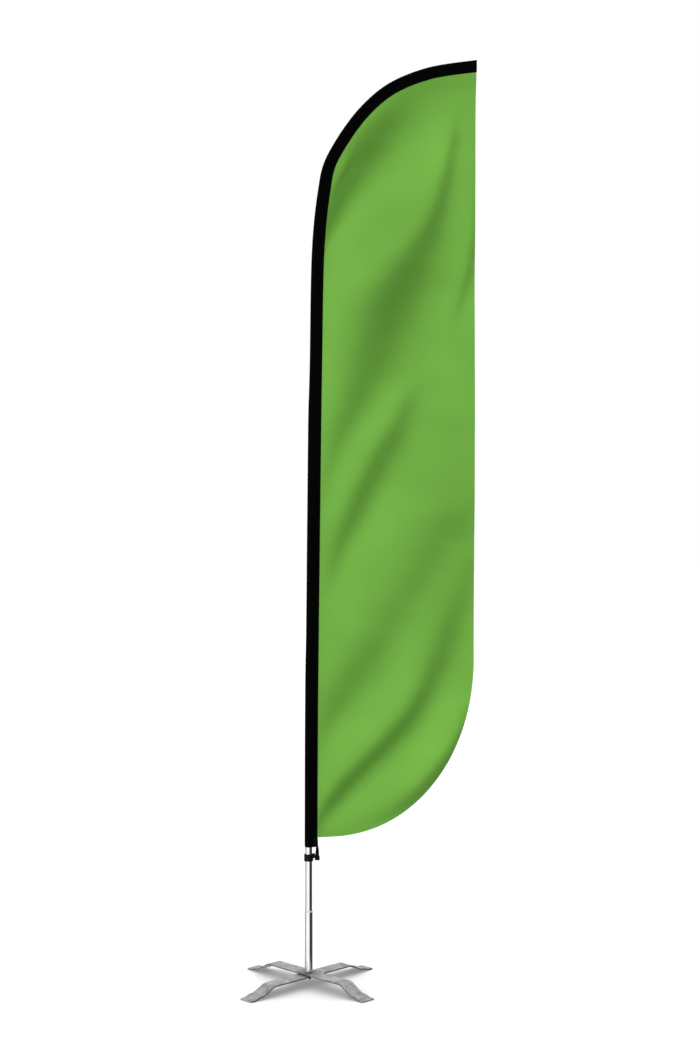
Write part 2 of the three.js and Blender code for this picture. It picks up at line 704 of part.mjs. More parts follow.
// A flat elastic band looped under the saddle, its two ends sewn together below the sleeve's seam.
function elasticLoop() {
  const inside = saddleRadius + fit;
  const outside = inside + elasticThick;
  const top = sleeveFoot - fit;
  const join = top - elasticSewn;
  const spread = mix(join, saddleHeight, 0.55);
  const loop = new THREE.Shape();
  loop.moveTo(-elasticThick, top);
  loop.lineTo(-elasticThick, join);
  loop.quadraticCurveTo(-outside, spread, -outside, saddleHeight);
  loop.absarc(0, saddleHeight, outside, Math.PI, 2 * Math.PI);
  loop.quadraticCurveTo(outside, spread, elasticThick, join);
  loop.lineTo(elasticThick, top);
  const hole = new THREE.Path();
  hole.moveTo(0, join - 2);
  hole.quadraticCurveTo(inside, spread, inside, saddleHeight);
  hole.absarc(0, saddleHeight, inside, 0, Math.PI, true);
  hole.quadraticCurveTo(-inside, spread, 0, join - 2);
  loop.holes.push(hole);
  const band = new THREE.ExtrudeGeometry(loop,
    { depth: elasticWidth, bevelEnabled: false, curveSegments: 8 });
  return band.rotateX(Math.PI / 2).rotateZ(Math.PI / 2).translate(saddleStart + fit, 0, 0);
}
add('elastic_loop', elasticLoop(), elasticWeb());

// A folded tab of webbing that wraps the sleeve's seam edge and holds the elastic's ends.
function loopTab() {
  const tabFoot = sleeveFoot + tabInset;
  const tabTop = sailFoot - tabInset;
  const reach = seamReachLow - tabWidth;
  const reachOut = fit + tabWall;
  const outside = teardropSweep(tabFoot, tabTop, sleeveWall + reachOut, reachOut, seamEdge + reachOut);
  const inside = teardropSweep(tabFoot - 1, tabTop + 1, sleeveWall + fit, fit, seamEdge + fit);
  const edgeOnly = toSolid(block([reach, farAway], [-farAway, farAway], [0, farAway]));
  return toGeometry(outside.subtract(inside).intersect(edgeOnly));
}
add('loop_tab', loopTab(), blackCloth());

// ---- Stand the flag on the middle of its box's foot ----

const box = new THREE.Box3().setFromObject(flag);
const middle = box.getCenter(new THREE.Vector3());
for (const mesh of flag.children) mesh.position.set(-middle.x, 0, 0);

export default flag;
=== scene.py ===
# A feather flag on a folding cross base, in metres: +Z up, the sail in the XZ plane.
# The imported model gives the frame; everything seen is made here over it.

import bmesh
import bpy
import math
import numpy as np
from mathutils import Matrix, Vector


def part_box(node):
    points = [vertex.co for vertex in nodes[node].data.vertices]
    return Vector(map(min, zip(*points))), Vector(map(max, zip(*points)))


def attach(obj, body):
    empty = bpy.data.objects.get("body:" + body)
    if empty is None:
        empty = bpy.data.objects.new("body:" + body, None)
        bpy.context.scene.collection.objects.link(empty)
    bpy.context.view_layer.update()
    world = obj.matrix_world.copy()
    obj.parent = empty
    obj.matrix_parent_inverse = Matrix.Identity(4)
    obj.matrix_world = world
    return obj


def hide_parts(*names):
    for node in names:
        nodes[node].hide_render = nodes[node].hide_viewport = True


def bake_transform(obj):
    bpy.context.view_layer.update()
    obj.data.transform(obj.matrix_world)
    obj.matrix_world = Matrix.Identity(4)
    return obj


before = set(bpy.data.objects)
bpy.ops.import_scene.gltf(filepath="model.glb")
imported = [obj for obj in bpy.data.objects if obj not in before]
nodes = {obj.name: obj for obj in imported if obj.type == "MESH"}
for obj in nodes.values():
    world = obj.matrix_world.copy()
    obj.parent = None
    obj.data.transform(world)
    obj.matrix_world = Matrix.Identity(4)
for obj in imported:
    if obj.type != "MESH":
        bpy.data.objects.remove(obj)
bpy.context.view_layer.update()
poleX = sum(corner.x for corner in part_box("pivot_stud")) / 2    # the spindle's axis
print("frame loaded, pole axis at x =", round(poleX, 4))

# Camera, looking level along +Y from standing eye height.

view = {"x": -0.0392, "distance": 5.86, "height": 1.669, "lens": 53.8}

camera = bpy.data.cameras.new("camera")
camera.sensor_width = 36
camera.lens = view["lens"]
cameraObject = bpy.data.objects.new("camera", camera)
cameraObject.location = (view["x"], -view["distance"], view["height"])
cameraObject.rotation_euler = (math.pi / 2, 0, 0)
bpy.context.scene.collection.objects.link(cameraObject)
bpy.context.scene.camera = cameraObject

# Materials. Each is a small node tree on Object coordinates or on the piece's own UV map.


# Adds a node: its inputs are linked where they are sockets and set where they are values.
def addNode(tree, kind, inputs=(), **settings):
    made = tree.nodes.new(kind)
    for setting, value in settings.items():
        setattr(made, setting, value)
    for key, value in dict(inputs).items():
        if isinstance(value, bpy.types.NodeSocket):
            tree.links.new(value, made.inputs[key])
        else:
            made.inputs[key].default_value = value
    return made


# A material, with short ways to add nodes to it.
class Finish:
    def __init__(self, name, **sockets):
        self.material = bpy.data.materials.new(name)
        self.material.use_nodes = True
        self.tree = self.material.node_tree
        self.shader = self.tree.nodes["Principled BSDF"]
        for socket, value in sockets.items():
            self.shader.inputs[socket.replace("_", " ")].default_value = value

    def node(self, kind, inputs=(), **settings):
        return addNode(self.tree, kind, inputs, **settings)

    def place(self, scale=(1, 1, 1), turn=(0, 0, 0), source="Object"):
        coordinates = self.node("ShaderNodeTexCoord")
        mapping = self.node("ShaderNodeMapping", {"Vector": coordinates.outputs[source],
                                                  "Scale": scale, "Rotation": turn})
        return mapping.outputs["Vector"]

    def noise(self, where, scale, detail=3.0, roughness=0.5):
        made = self.node("ShaderNodeTexNoise", {"Vector": where, "Scale": scale, "Detail": detail,
                                                "Roughness": roughness})
        return made.outputs["Fac"]

    def ramp(self, value, low, high, fromColour, toColour):
        made = self.node("ShaderNodeValToRGB", {"Fac": value})
        first, last = made.color_ramp.elements
        first.position, last.position = low, high
        first.color, last.color = (*fromColour, 1), (*toColour, 1)
        return made.outputs["Color"]

    def spread(self, value, low, high):
        made = self.node("ShaderNodeMapRange", {"Value": value, "To Min": low, "To Max": high})
        return made.outputs["Result"]

    def maths(self, operation, a, b):
        made = self.node("ShaderNodeMath", {0: a, 1: b}, operation=operation)
        return made.outputs["Value"]

    def mixed(self, share, a, b, blend="MIX"):
        made = self.node("ShaderNodeMix", {0: share, 6: a, 7: b}, data_type="RGBA", blend_type=blend)
        return made.outputs[2]

    def bump(self, height, strength, distance, after=None):
        inputs = {"Height": height, "Strength": strength, "Distance": distance}
        if after is not None:
            inputs["Normal"] = after
        return self.node("ShaderNodeBump", inputs).outputs["Normal"]

    def join(self, socket, value):
        self.tree.links.new(value, self.shader.inputs[socket])


# Woven cloth: two crossed sets of threads, slubs in them and a slow change of shade.
def clothFinish(name, colour, thread, source, rough=0.8, sheen=0.25, specular=0.15):
    cloth = Finish(name, Roughness=rough)
    cloth.shader.inputs["Sheen Weight"].default_value = sheen
    cloth.shader.inputs["Sheen Roughness"].default_value = 0.45
    cloth.shader.inputs["Specular IOR Level"].default_value = specular
    where = cloth.place(source=source)
    alongScale = 0.314 / thread
    upwards = "Y" if source == "UV" else "Z"
    warp = cloth.node("ShaderNodeTexWave", {"Vector": where, "Scale": alongScale, "Distortion": 0.6,
                                            "Detail": 1.0}, bands_direction="X")
    weft = cloth.node("ShaderNodeTexWave", {"Vector": where, "Scale": alongScale, "Distortion": 0.6,
                                            "Detail": 1.0}, bands_direction=upwards)
    weave = cloth.maths("MULTIPLY", warp.outputs["Fac"], weft.outputs["Fac"])
    slub = cloth.noise(cloth.place((1, 1, 9), source=source), 60, 4)
    shade = cloth.noise(where, 2.6, 2)
    dark = tuple(0.93 * c for c in colour)
    light = tuple(1.06 * c for c in colour)
    slow = cloth.ramp(shade, 0.3, 0.7, dark, light)
    threads = cloth.ramp(weave, 0.0, 0.8, (0.9, 0.9, 0.9), (1.0, 1.0, 1.0))
    fine = cloth.ramp(slub, 0.3, 0.7, (0.97, 0.97, 0.97), (1.02, 1.02, 1.02))
    cloth.join("Base Color", cloth.mixed(1.0, cloth.mixed(1.0, slow, threads, "MULTIPLY"), fine,
                                         "MULTIPLY"))
    cloth.join("Roughness", cloth.spread(slub, rough - 0.06, rough + 0.06))
    cloth.join("Normal", cloth.bump(slub, 0.12, 0.0004, cloth.bump(weave, 0.35, 0.00012)))
    return cloth.material


# Ribbed webbing on the piece's own UV map, in metres: ribs across the width, a thread in each.
def webbingFinish(name, colour, rib, ribsAlong="Y"):
    web = Finish(name, Roughness=0.75)
    web.shader.inputs["Specular IOR Level"].default_value = 0.08
    where = web.place(source="UV")
    ribs = web.node("ShaderNodeTexWave", {"Vector": where, "Scale": 0.314 / rib, "Distortion": 0.3},
                    bands_direction=ribsAlong)
    cross = web.node("ShaderNodeTexWave", {"Vector": where, "Scale": 0.157 / rib, "Distortion": 0.8},
                     bands_direction="X" if ribsAlong == "Y" else "Y")
    both = web.maths("ADD", ribs.outputs["Fac"], web.maths("MULTIPLY", cross.outputs["Fac"], 0.5))
    fuzz = web.noise(web.place(), 900, 2)
    web.join("Base Color", web.ramp(both, 0.2, 1.2, tuple(0.6 * c for c in colour), colour))
    web.join("Roughness", web.spread(fuzz, 0.65, 0.85))
    web.join("Normal", web.bump(fuzz, 0.2, 0.0001, web.bump(both, 0.7, 0.0003)))
    return web.material


# Hot-dipped zinc: angular crystals of a few millimetres, cloudy patches, fine scratches.
def galvanisedFinish():
    zinc = Finish("galvanisedSteel", Metallic=0.85, Roughness=0.45)
    where = zinc.place()
    crystals = zinc.node("ShaderNodeTexVoronoi", {"Vector": where, "Scale": 210.0, "Randomness": 1.0})
    clouds = zinc.noise(where, 34, 6, 0.65)
    streaks = zinc.noise(zinc.place((8, 260, 60), (0, 0, math.pi / 4)), 1.5, 3)
    spangle = zinc.ramp(crystals.outputs["Color"], 0.1, 0.9, (0.25, 0.26, 0.26), (0.37, 0.375, 0.375))
    cloudy = zinc.ramp(clouds, 0.36, 0.62, (0.19, 0.195, 0.20), (0.68, 0.685, 0.68))
    # The zinc is made darker towards the bar's long edges.
    across = zinc.node("ShaderNodeSeparateXYZ", {0: zinc.place(source="UV")}).outputs["Y"]
    fromMiddle = zinc.maths("ABSOLUTE", across, 0.0)
    edge = zinc.node("ShaderNodeMapRange", {"Value": fromMiddle, "From Min": 0.0268, "From Max": 0.0292,
                                            "To Min": 1.0, "To Max": 0.5})
    # Painted shadow of the pole's foot: within a few centimetres of the pole's axis the zinc is darkened to
    # a third.
    flat = zinc.node("ShaderNodeVectorMath", {0: zinc.place((1, 1, 0)), 1: (poleX, 0, 0)},
                     operation="DISTANCE")
    pivot = zinc.node("ShaderNodeMapRange", {"Value": flat.outputs["Value"], "From Min": 0.026,
                                             "From Max": 0.060, "To Min": 0.33, "To Max": 1.0})
    darkerEdgesAndPivotShade = zinc.maths("MULTIPLY", edge.outputs["Result"], pivot.outputs["Result"])
    both = zinc.mixed(1.0, zinc.mixed(0.6, spangle, cloudy), darkerEdgesAndPivotShade, "MULTIPLY")
    zinc.join("Base Color", zinc.mixed(zinc.spread(streaks, 0.0, 0.22), both, (0.55, 0.55, 0.54, 1)))
    zinc.join("Roughness", zinc.spread(clouds, 0.58, 0.36))
    height = zinc.maths("ADD", crystals.outputs["Distance"], zinc.maths("MULTIPLY", clouds, 2.0))
    zinc.join("Normal", zinc.bump(streaks, 0.08, 0.0003, zinc.bump(height, 0.16, 0.0004)))
    return zinc.material


# Drawn or turned metal: long fine lines along the tube, or rings where it is turned.
def drawnMetal(name, colour, rough, grain=(400, 400, 3), metallic=1.0):
    metal = Finish(name, Metallic=metallic, Roughness=rough)
    lines = metal.noise(metal.place(grain), 1.0, 4, 0.6)
    smears = metal.noise(metal.place(), 22, 4, 0.6)
    darker = tuple(0.86 * c for c in colour)
    metal.join("Base Color", metal.mixed(0.5, metal.ramp(lines, 0.3, 0.7, darker, colour),
                                         metal.ramp(smears, 0.35, 0.65, darker, colour)))
    metal.join("Roughness", metal.maths("ADD", metal.spread(lines, rough - 0.05, rough + 0.05),
                                        metal.spread(smears, -0.03, 0.05)))
    metal.join("Normal", metal.bump(lines, 0.06, 0.0002))
    return metal.material


# Moulded plastic or rubber: a fine grain, slightly shinier where it is rubbed.
def mouldedFinish(name, colour, rough, grain=1400):
    moulded = Finish(name, Roughness=rough)
    moulded.shader.inputs["Specular IOR Level"].default_value = 0.14
    where = moulded.place()
    fine = moulded.noise(where, grain, 2)
    rubbed = moulded.noise(where, 45, 4)
    moulded.join("Base Color", moulded.ramp(rubbed, 0.3, 0.7, colour, tuple(1.5 * c for c in colour)))
    moulded.join("Roughness", moulded.spread(rubbed, rough + 0.07, rough - 0.1))
    moulded.join("Normal", moulded.bump(fine, 0.18, 0.0001))
    return moulded.material


# Pultruded fibreglass: dark, glossy, with fibres that run along the pole.
def fibreFinish():
    glass = Finish("fibreglass", Roughness=0.35)
    glass.shader.inputs["Coat Weight"].default_value = 0.3
    fibres = glass.noise(glass.place((900, 900, 8)), 1.0, 3)
    glass.join("Base Color", glass.ramp(fibres, 0.35, 0.7, (0.008, 0.008, 0.009), (0.035, 0.036, 0.04)))
    glass.join("Roughness", glass.spread(fibres, 0.28, 0.45))
    glass.join("Normal", glass.bump(fibres, 0.1, 0.0001))
    return glass.material


greenColour = (0.168, 0.434, 0.057)
blackColour = (0.0014, 0.0014, 0.0016)
finishes = {
    "green_cloth": clothFinish("greenCloth", greenColour, 0.0006, "Object", sheen=0.05),
    "black_cloth": clothFinish("blackCloth", blackColour, 0.0008, "UV", 0.9, 0.0, 0.02),
    "black_webbing": webbingFinish("blackWebbing", (0.0024, 0.0024, 0.0026), 0.0014),
    "black_elastic": webbingFinish("blackElastic", (0.0022, 0.0022, 0.0024), 0.0011, "X"),
    "green_thread": webbingFinish("greenThread", (0.17, 0.42, 0.07), 0.0006),
    "black_thread": webbingFinish("blackThread", (0.004, 0.004, 0.0045), 0.0006),
    "galvanised_steel": galvanisedFinish(),
    "machined_steel": drawnMetal("machinedSteel", (0.56, 0.57, 0.58), 0.28, (30, 30, 900)),
    "bearing_steel": drawnMetal("bearingSteel", (0.6, 0.61, 0.62), 0.16, (60, 60, 700)),
    "pole_aluminium": drawnMetal("poleAluminium", (0.9, 0.905, 0.91), 0.14),
    "fibreglass": fibreFinish(),
    "black_plastic": mouldedFinish("blackPlastic", (0.0016, 0.0016, 0.0018), 0.42),
    "rubber": mouldedFinish("rubber", (0.01, 0.01, 0.01), 0.75, 2200),
    "nylon": mouldedFinish("paleNylon", (0.62, 0.61, 0.56), 0.5, 900),
    "padding_cloth": clothFinish("paddingCloth", (0.01, 0.01, 0.011), 0.0008, "Object", rough=0.9),
}
print("finishes made")

# Shapes. A surface is a grid of points, rows by columns, and a piece is one or more surfaces.


# The distance run along a line of points.
def runAlong(line):
    return np.concatenate([[0], np.cumsum(np.linalg.norm(np.diff(line, axis=0), axis=1))])


# The direction of a line at each point, and the direction a quarter turn from it.
def directions(line):
    tangent = np.gradient(line, axis=0)
    tangent /= np.linalg.norm(tangent, axis=1)[:, None]
    return tangent, np.stack([-tangent[:, 1], tangent[:, 0]], axis=1)


# A curve from one point to another, pulled towards a third: shares (1 - t)^2, 2 t (1 - t) and t^2.
def pulled(t, start, towards, end):
    return (1 - t) ** 2 * start + 2 * t * (1 - t) * towards + t ** 2 * end


# The first and last rows of a grid as two flat ends.
def endCaps(grid):
    rows, columns = grid.shape[:2]
    return [np.arange(columns), (rows - 1) * columns + np.arange(columns)[::-1]]


# Corner numbers of the quads between neighbouring points of a grid, closed on itself or not.
def gridQuads(rows, columns, loopRows, loopColumns, start=0):
    i = np.arange(rows if loopRows else rows - 1)
    j = np.arange(columns if loopColumns else columns - 1)
    i, j = np.meshgrid(i, j, indexing="ij")
    nextI, nextJ = (i + 1) % rows, (j + 1) % columns
    corners = [i * columns + j, nextI * columns + j, nextI * columns + nextJ, i * columns + nextJ]
    return start + np.stack(corners, axis=-1).reshape(-1, 4)


# Each surface is a grid, whether its rows and columns close, and its UV in metres or None.
def makePiece(name, surfaces, finish, body, replaces=(), slot=None, wall=0.0, caps=(), outward=True):
    points, quads, uvs, start = [], [], [], 0
    for grid, loopRows, loopColumns, uv in surfaces:
        rows, columns = grid.shape[:2]
        faces = gridQuads(rows, columns, loopRows, loopColumns, start)
        points.append(grid.reshape(-1, 3))
        quads.append(faces)
        if uv is None:
            uvs.append(np.zeros((faces.size, 2)))
        else:
            wrapped = np.pad(uv, ((0, int(loopRows)), (0, int(loopColumns)), (0, 0)), mode="edge")
            if loopRows:
                wrapped[-1] = 2 * wrapped[-2] - wrapped[-3]
            if loopColumns:
                wrapped[:, -1] = 2 * wrapped[:, -2] - wrapped[:, -3]
            corner = [wrapped[:-1, :-1], wrapped[1:, :-1], wrapped[1:, 1:], wrapped[:-1, 1:]]
            uvs.append(np.stack(corner, axis=2).reshape(-1, 2))
        start += rows * columns
    points, quads, uvs = np.concatenate(points), np.concatenate(quads), np.concatenate(uvs)
    mesh = bpy.data.meshes.new(name)
    mesh.vertices.add(len(points))
    mesh.vertices.foreach_set("co", points.astype(np.float32).ravel())
    capLoops = [np.asarray(cap) for cap in caps]
    sizes = np.concatenate([np.full(len(quads), 4), np.array([len(c) for c in capLoops], int)])
    loops = np.concatenate([quads.ravel(), *capLoops]).astype(np.int32)
    mesh.loops.add(len(loops))
    mesh.loops.foreach_set("vertex_index", loops)
    mesh.polygons.add(len(sizes))
    starts = np.concatenate([[0], np.cumsum(sizes)[:-1]]).astype(np.int32)
    mesh.polygons.foreach_set("loop_start", starts)
    mesh.update(calc_edges=True)
    layer = mesh.uv_layers.new(name="surface")
    capUv = points[np.concatenate(capLoops)][:, [0, 2]] if capLoops else np.zeros((0, 2))
    layer.data.foreach_set("uv", np.concatenate([uvs, capUv]).astype(np.float32).ravel())
    tidy = bmesh.new()
    tidy.from_mesh(mesh)
    bmesh.ops.remove_doubles(tidy, verts=tidy.verts, dist=2e-6)
    if outward:
        bmesh.ops.recalc_face_normals(tidy, faces=tidy.faces)
    tidy.to_mesh(mesh)
    tidy.free()
    mesh.shade_smooth()
    made = bpy.data.objects.new(name, mesh)
    bpy.context.scene.collection.objects.link(made)
    mesh.materials.append(finishes[finish])
    if wall:
        thick = made.modifiers.new("wall", "SOLIDIFY")
        thick.thickness = wall
        thick.offset = -1
    if body:
        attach(made, body)
    if replaces:
        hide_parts(*replaces)
    return made


# Rounds each corner of a profile, with a point on each side of it that keeps the flats flat.
def softened(profile, radius, steps=4, closed=False):
    corners = np.asarray(profile, float)
    count = len(corners)
    result = []
    for k in range(count):
        here = corners[k]
        if not closed and k in (0, count - 1):
            result.append(here)
            continue
        before, after = corners[k - 1] - here, corners[(k + 1) % count] - here
        lengths = np.linalg.norm(before), np.linalg.norm(after)
        reach = min(radius, 0.42 * lengths[0], 0.42 * lengths[1])
        start, end = here + before / lengths[0] * reach, here + after / lengths[1] * reach
        t = np.linspace(0, 1, steps + 1)[:, None]
        arc = pulled(t, start, here, end)
        result.extend([start + before / lengths[0] * 0.15 * reach, *arc,
                       end + after / lengths[1] * 0.15 * reach])
    return np.array(result)


# A profile of radius and height carried round the pole's upright axis.
def turnedGrid(profile, sides=96):
    profile = np.asarray(profile, float)
    angle = np.linspace(0, 2 * np.pi, sides, endpoint=False)
    x = poleX + profile[:, :1] * np.cos(angle)
    y = profile[:, :1] * np.sin(angle)
    z = np.broadcast_to(profile[:, 1:], x.shape)
    arc = np.broadcast_to(angle, x.shape) * profile[:, 0].max()
    run = runAlong(profile)
    uv = np.stack([arc, np.broadcast_to(run[:, None], x.shape)], axis=-1)
    return np.stack([x, y, z], axis=-1), uv


# A turned piece: its profile in millimetres, softened and carried round the pole's axis.
def turnedPiece(name, profile, finish, body, radius=0.0004, **more):
    grid, uv = turnedGrid(softened(np.asarray(profile, float) / 1000, radius, closed=True))
    return makePiece(name, [(grid, True, True, uv)], finish, body, **more)


# The pole's line. Distances along it are in metres from the floor.

bow = {
    "straightTop": 0.560,
    "reach": 0.612,
    "top": 3.3994,
    "shape": [(0, 0), (0.0021, 0.155), (0.0123, 0.4015), (0.0232, 0.6128), (0.0384, 0.7678),
              (0.0719, 0.8347), (0.1013, 0.8664), (0.1748, 0.8974), (0.3162, 0.9388),
              (0.482, 0.9694), (0.7116, 0.99), (1, 1), (1.05, 1.0012)],
}


# A smooth curve through the shape's points: each stretch is a cubic whose slopes at its ends come
# from the neighbouring points, weighted by the square root of their distances.
def bowLine():
    shape = np.array(bow["shape"]) * (bow["reach"], bow["top"] - bow["straightTop"])
    shape[:, 1] += bow["straightTop"]
    full = np.vstack([2 * shape[0] - shape[1], shape, 2 * shape[-1] - shape[-2]])
    p0, p1, p2, p3 = full[:-3], full[1:-2], full[2:-1], full[3:]
    d0, d1, d2 = (np.sqrt(np.linalg.norm(b - a, axis=1))[:, None]
                  for a, b in ((p0, p1), (p1, p2), (p2, p3)))
    slope1 = ((p1 - p0) / d0 - (p2 - p0) / (d0 + d1) + (p2 - p1) / d1) * d1
    slope2 = ((p2 - p1) / d1 - (p3 - p1) / (d1 + d2) + (p3 - p2) / d2) * d1
    t = np.linspace(0, 1, 300, endpoint=False)[None, :, None]
    a, b, m, n = (v[:, None] for v in (p1, p2, slope1, slope2))
    curve = a + m * t + (3 * (b - a) - 2 * m - n) * t ** 2 + (2 * (a - b) + m + n) * t ** 3
    curve = np.vstack([[0, 0], curve.reshape(-1, 2), shape[-1]])
    return runAlong(curve), curve


bowAlong, bowCurve = bowLine()
bowLength = bowAlong[-1]


# The point at a length along the pole, offset from its axis towards the sail: x and z.
def bowPoint(along, offset):
    along = np.asarray(along, float)
    step = 0.002
    centre = [np.interp(along, bowAlong, bowCurve[:, k]) for k in (0, 1)]
    ahead = [np.interp(along + step, bowAlong, bowCurve[:, k]) for k in (0, 1)]
    behind = [np.interp(along - step, bowAlong, bowCurve[:, k]) for k in (0, 1)]
    tangent = np.stack([a - b for a, b in zip(ahead, behind)])
    tangent /= np.linalg.norm(tangent, axis=0)
    return centre[0] + offset * tangent[1], centre[1] - offset * tangent[0]


# The length along the pole where a line at this offset reaches an x.
def lengthWhere(x, offset):
    along = np.linspace(bowLength * 0.7, bowLength, 4000)
    offset = np.atleast_1d(offset)
    return np.array([np.interp(x, bowPoint(along, one)[0], along) for one in offset])


# A profile of radius and length along the pole, turned round it and bent along its line.
def bentGrid(profile, sides=72):
    profile = np.asarray(profile, float)
    angle = np.linspace(0, 2 * np.pi, sides, endpoint=False)
    radius, along = profile[:, :1], np.broadcast_to(profile[:, 1:], (len(profile), sides))
    x, z = bowPoint(along, radius * np.cos(angle))
    y = radius * np.sin(angle)
    uv = np.stack([np.broadcast_to(angle * 0.013, along.shape), along], axis=-1)
    return np.stack([x + poleX, y, z], axis=-1), uv


# Adds points along the long straight stretches of a profile, so that it can bend.
def divided(profile, step=0.02):
    result = [profile[0]]
    for before, after in zip(profile[:-1], profile[1:]):
        count = max(1, int(np.linalg.norm(after - before) / step))
        result.extend(before + (after - before) * k / count for k in range(1, count + 1))
    return np.array(result)


# The base: two bent bars, crossed and bolted at the pole's axis.

bar = {
    "reach": 0.308, "width": 0.060, "thick": 0.005, "corner": 0.004, "bend": 0.009,
    "flatReach": 0.194, "shelf": (0.247, 0.263, 0.013), "padStart": 0.287, "edge": 0.0009,
    "hole": 0.0063,
}


# The middle line of a bar from its centre to one foot, with each bend rounded.
def barLine(top):
    half = bar["thick"] / 2
    shelfStart, shelfEnd, shelfTop = bar["shelf"]
    corners = np.array([(0, top - half), (bar["flatReach"], top - half),
                        (shelfStart, shelfTop - half), (shelfEnd, shelfTop - half),
                        (bar["padStart"], half), (bar["reach"], half)])
    line = [corners[0]]
    for k in range(1, len(corners) - 1):
        here = corners[k]
        reaches = [min(bar["bend"], np.linalg.norm(corners[k + side] - here) / 2)
                   for side in (-1, 1)]
        start, end = (here + (corners[k + side] - here) * reach
                      / np.linalg.norm(corners[k + side] - here)
                      for side, reach in zip((-1, 1), reaches))
        t = np.linspace(0, 1, 9)[:, None]
        line.extend(pulled(t, start, here, end))
    line.append(corners[-1])
    return divided(np.array(line), 0.006)


# A strip of rounded section carried along the bar's line, from foot to foot. Near each end its
# width draws in along a quarter circle, and the last sections close over the end with a soft edge.
def barPiece(name, node, top, turn, body):
    right = barLine(top)
    line = np.vstack([right[::-1] * (-1, 1), right[1:]])
    normal = directions(line)[1]
    run = runAlong(line)
    extra = np.array([0.0, 0.0003, 0.0008, 0.0016, 0.0026, 0.004])
    wanted = np.unique(np.concatenate([run[run > 0.0045], extra]))
    wanted = np.unique(np.concatenate([wanted[wanted < run[-1] - 0.0045], run[-1] - extra]))
    line = np.stack([np.interp(wanted, run, line[:, k]) for k in (0, 1)], axis=1)
    normal = np.stack([np.interp(wanted, run, normal[:, k]) for k in (0, 1)], axis=1)
    fromEnd = np.minimum(wanted, wanted[-1] - wanted)
    inside = np.clip(bar["corner"] - fromEnd, 0, None)
    halfWidth = bar["width"] / 2 - bar["corner"] + np.sqrt(bar["corner"] ** 2 - inside ** 2)
    edgeIn = np.clip(bar["edge"] - fromEnd, 0, None)
    halfThick = bar["thick"] / 2 - bar["edge"] + np.sqrt(bar["edge"] ** 2 - edgeIn ** 2)
    edge = bar["edge"]
    turnPart = np.linspace(0, np.pi / 2, 5)
    corner = np.stack([np.cos(turnPart), np.sin(turnPart)], axis=1)
    quarters = []
    for k, (sx, sy) in enumerate(((1, 1), (-1, 1), (-1, -1), (1, -1))):
        part = corner if k % 2 == 0 else corner[::-1]
        quarters.append((part * (sx, sy), np.array([sx, sy])))
    inset = 0.0012
    rows = []
    for w, h in zip(halfWidth, halfThick):
        ring = []
        for part, sign in quarters:
            centre = sign * (w - edge, h - min(edge, h))
            ring.append(centre + part * (edge, min(edge, h)))
        loop = np.vstack([
            ring[0], [[w - edge - inset, h], [0, h], [-w + edge + inset, h]],
            ring[1], ring[2], [[-w + edge + inset, -h], [0, -h], [w - edge - inset, -h]], ring[3]])
        rows.append(loop)
    rows = np.array(rows)
    along = line[:, None, 0] + normal[:, None, 0] * rows[:, :, 1]
    height = line[:, None, 1] + normal[:, None, 1] * rows[:, :, 1]
    across = rows[:, :, 0]
    x = along * math.cos(turn) - across * math.sin(turn) + poleX
    y = along * math.sin(turn) + across * math.cos(turn)
    grid = np.stack([x, y, height], axis=-1)
    uv = np.stack([np.broadcast_to(wanted[:, None], across.shape), across], axis=-1)
    made = makePiece(name, [(grid, False, True, uv)], "galvanised_steel", body, replaces=(node,),
                     slot="galvanised_steel", caps=endCaps(grid))
    cutter = bpy.data.objects.new("cutter", bpy.data.meshes.new("cutter"))
    bpy.context.scene.collection.objects.link(cutter)
    drill = bmesh.new()
    bmesh.ops.create_cone(drill, cap_ends=True, segments=64, radius1=bar["hole"],
                          radius2=bar["hole"], depth=0.03)
    bmesh.ops.translate(drill, verts=drill.verts, vec=(poleX, 0, top - bar["thick"] / 2))
    drill.to_mesh(cutter.data)
    drill.free()
    cut = made.modifiers.new("hole", "BOOLEAN")
    cut.operation, cut.solver, cut.object = "DIFFERENCE", "EXACT", cutter
    bpy.context.view_layer.update()
    cutResult = made.evaluated_get(bpy.context.evaluated_depsgraph_get())
    drilled = bpy.data.meshes.new_from_object(cutResult)
    made.modifiers.clear()
    made.data = drilled
    bpy.data.objects.remove(cutter)
    drilled.shade_smooth()
    drilled.set_sharp_from_angle(angle=math.radians(50))
    return made


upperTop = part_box("upper_bar")[1].z
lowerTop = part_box("lower_bar")[1].z
barPiece("barLower", "lower_bar", lowerTop, math.pi / 4, "base")
barPiece("barUpper", "upper_bar", upperTop, -math.pi / 4, "top_bar")
print("bars made")

# The pivot, the spindle and the poles. Their profiles are in millimetres.

washers = {
    "bar_washer": ("washerBar", 6.3, 25, "nylon", "base"),
    "pivot_washer": ("washerNut", 6.3, 12, "machined_steel", "base"),
}
for node, (name, bore, radius, finish, body) in washers.items():
    low, high = (corner.z * 1000 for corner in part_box(node))
    turnedPiece(name, [(radius, low), (radius, high), (bore, high), (bore, low)], finish, body,
                radius=0.00025, replaces=(node,), slot=finish)

nut = {"acrossFlats": 0.019, "bore": 0.0063, "chamfer": math.radians(30)}


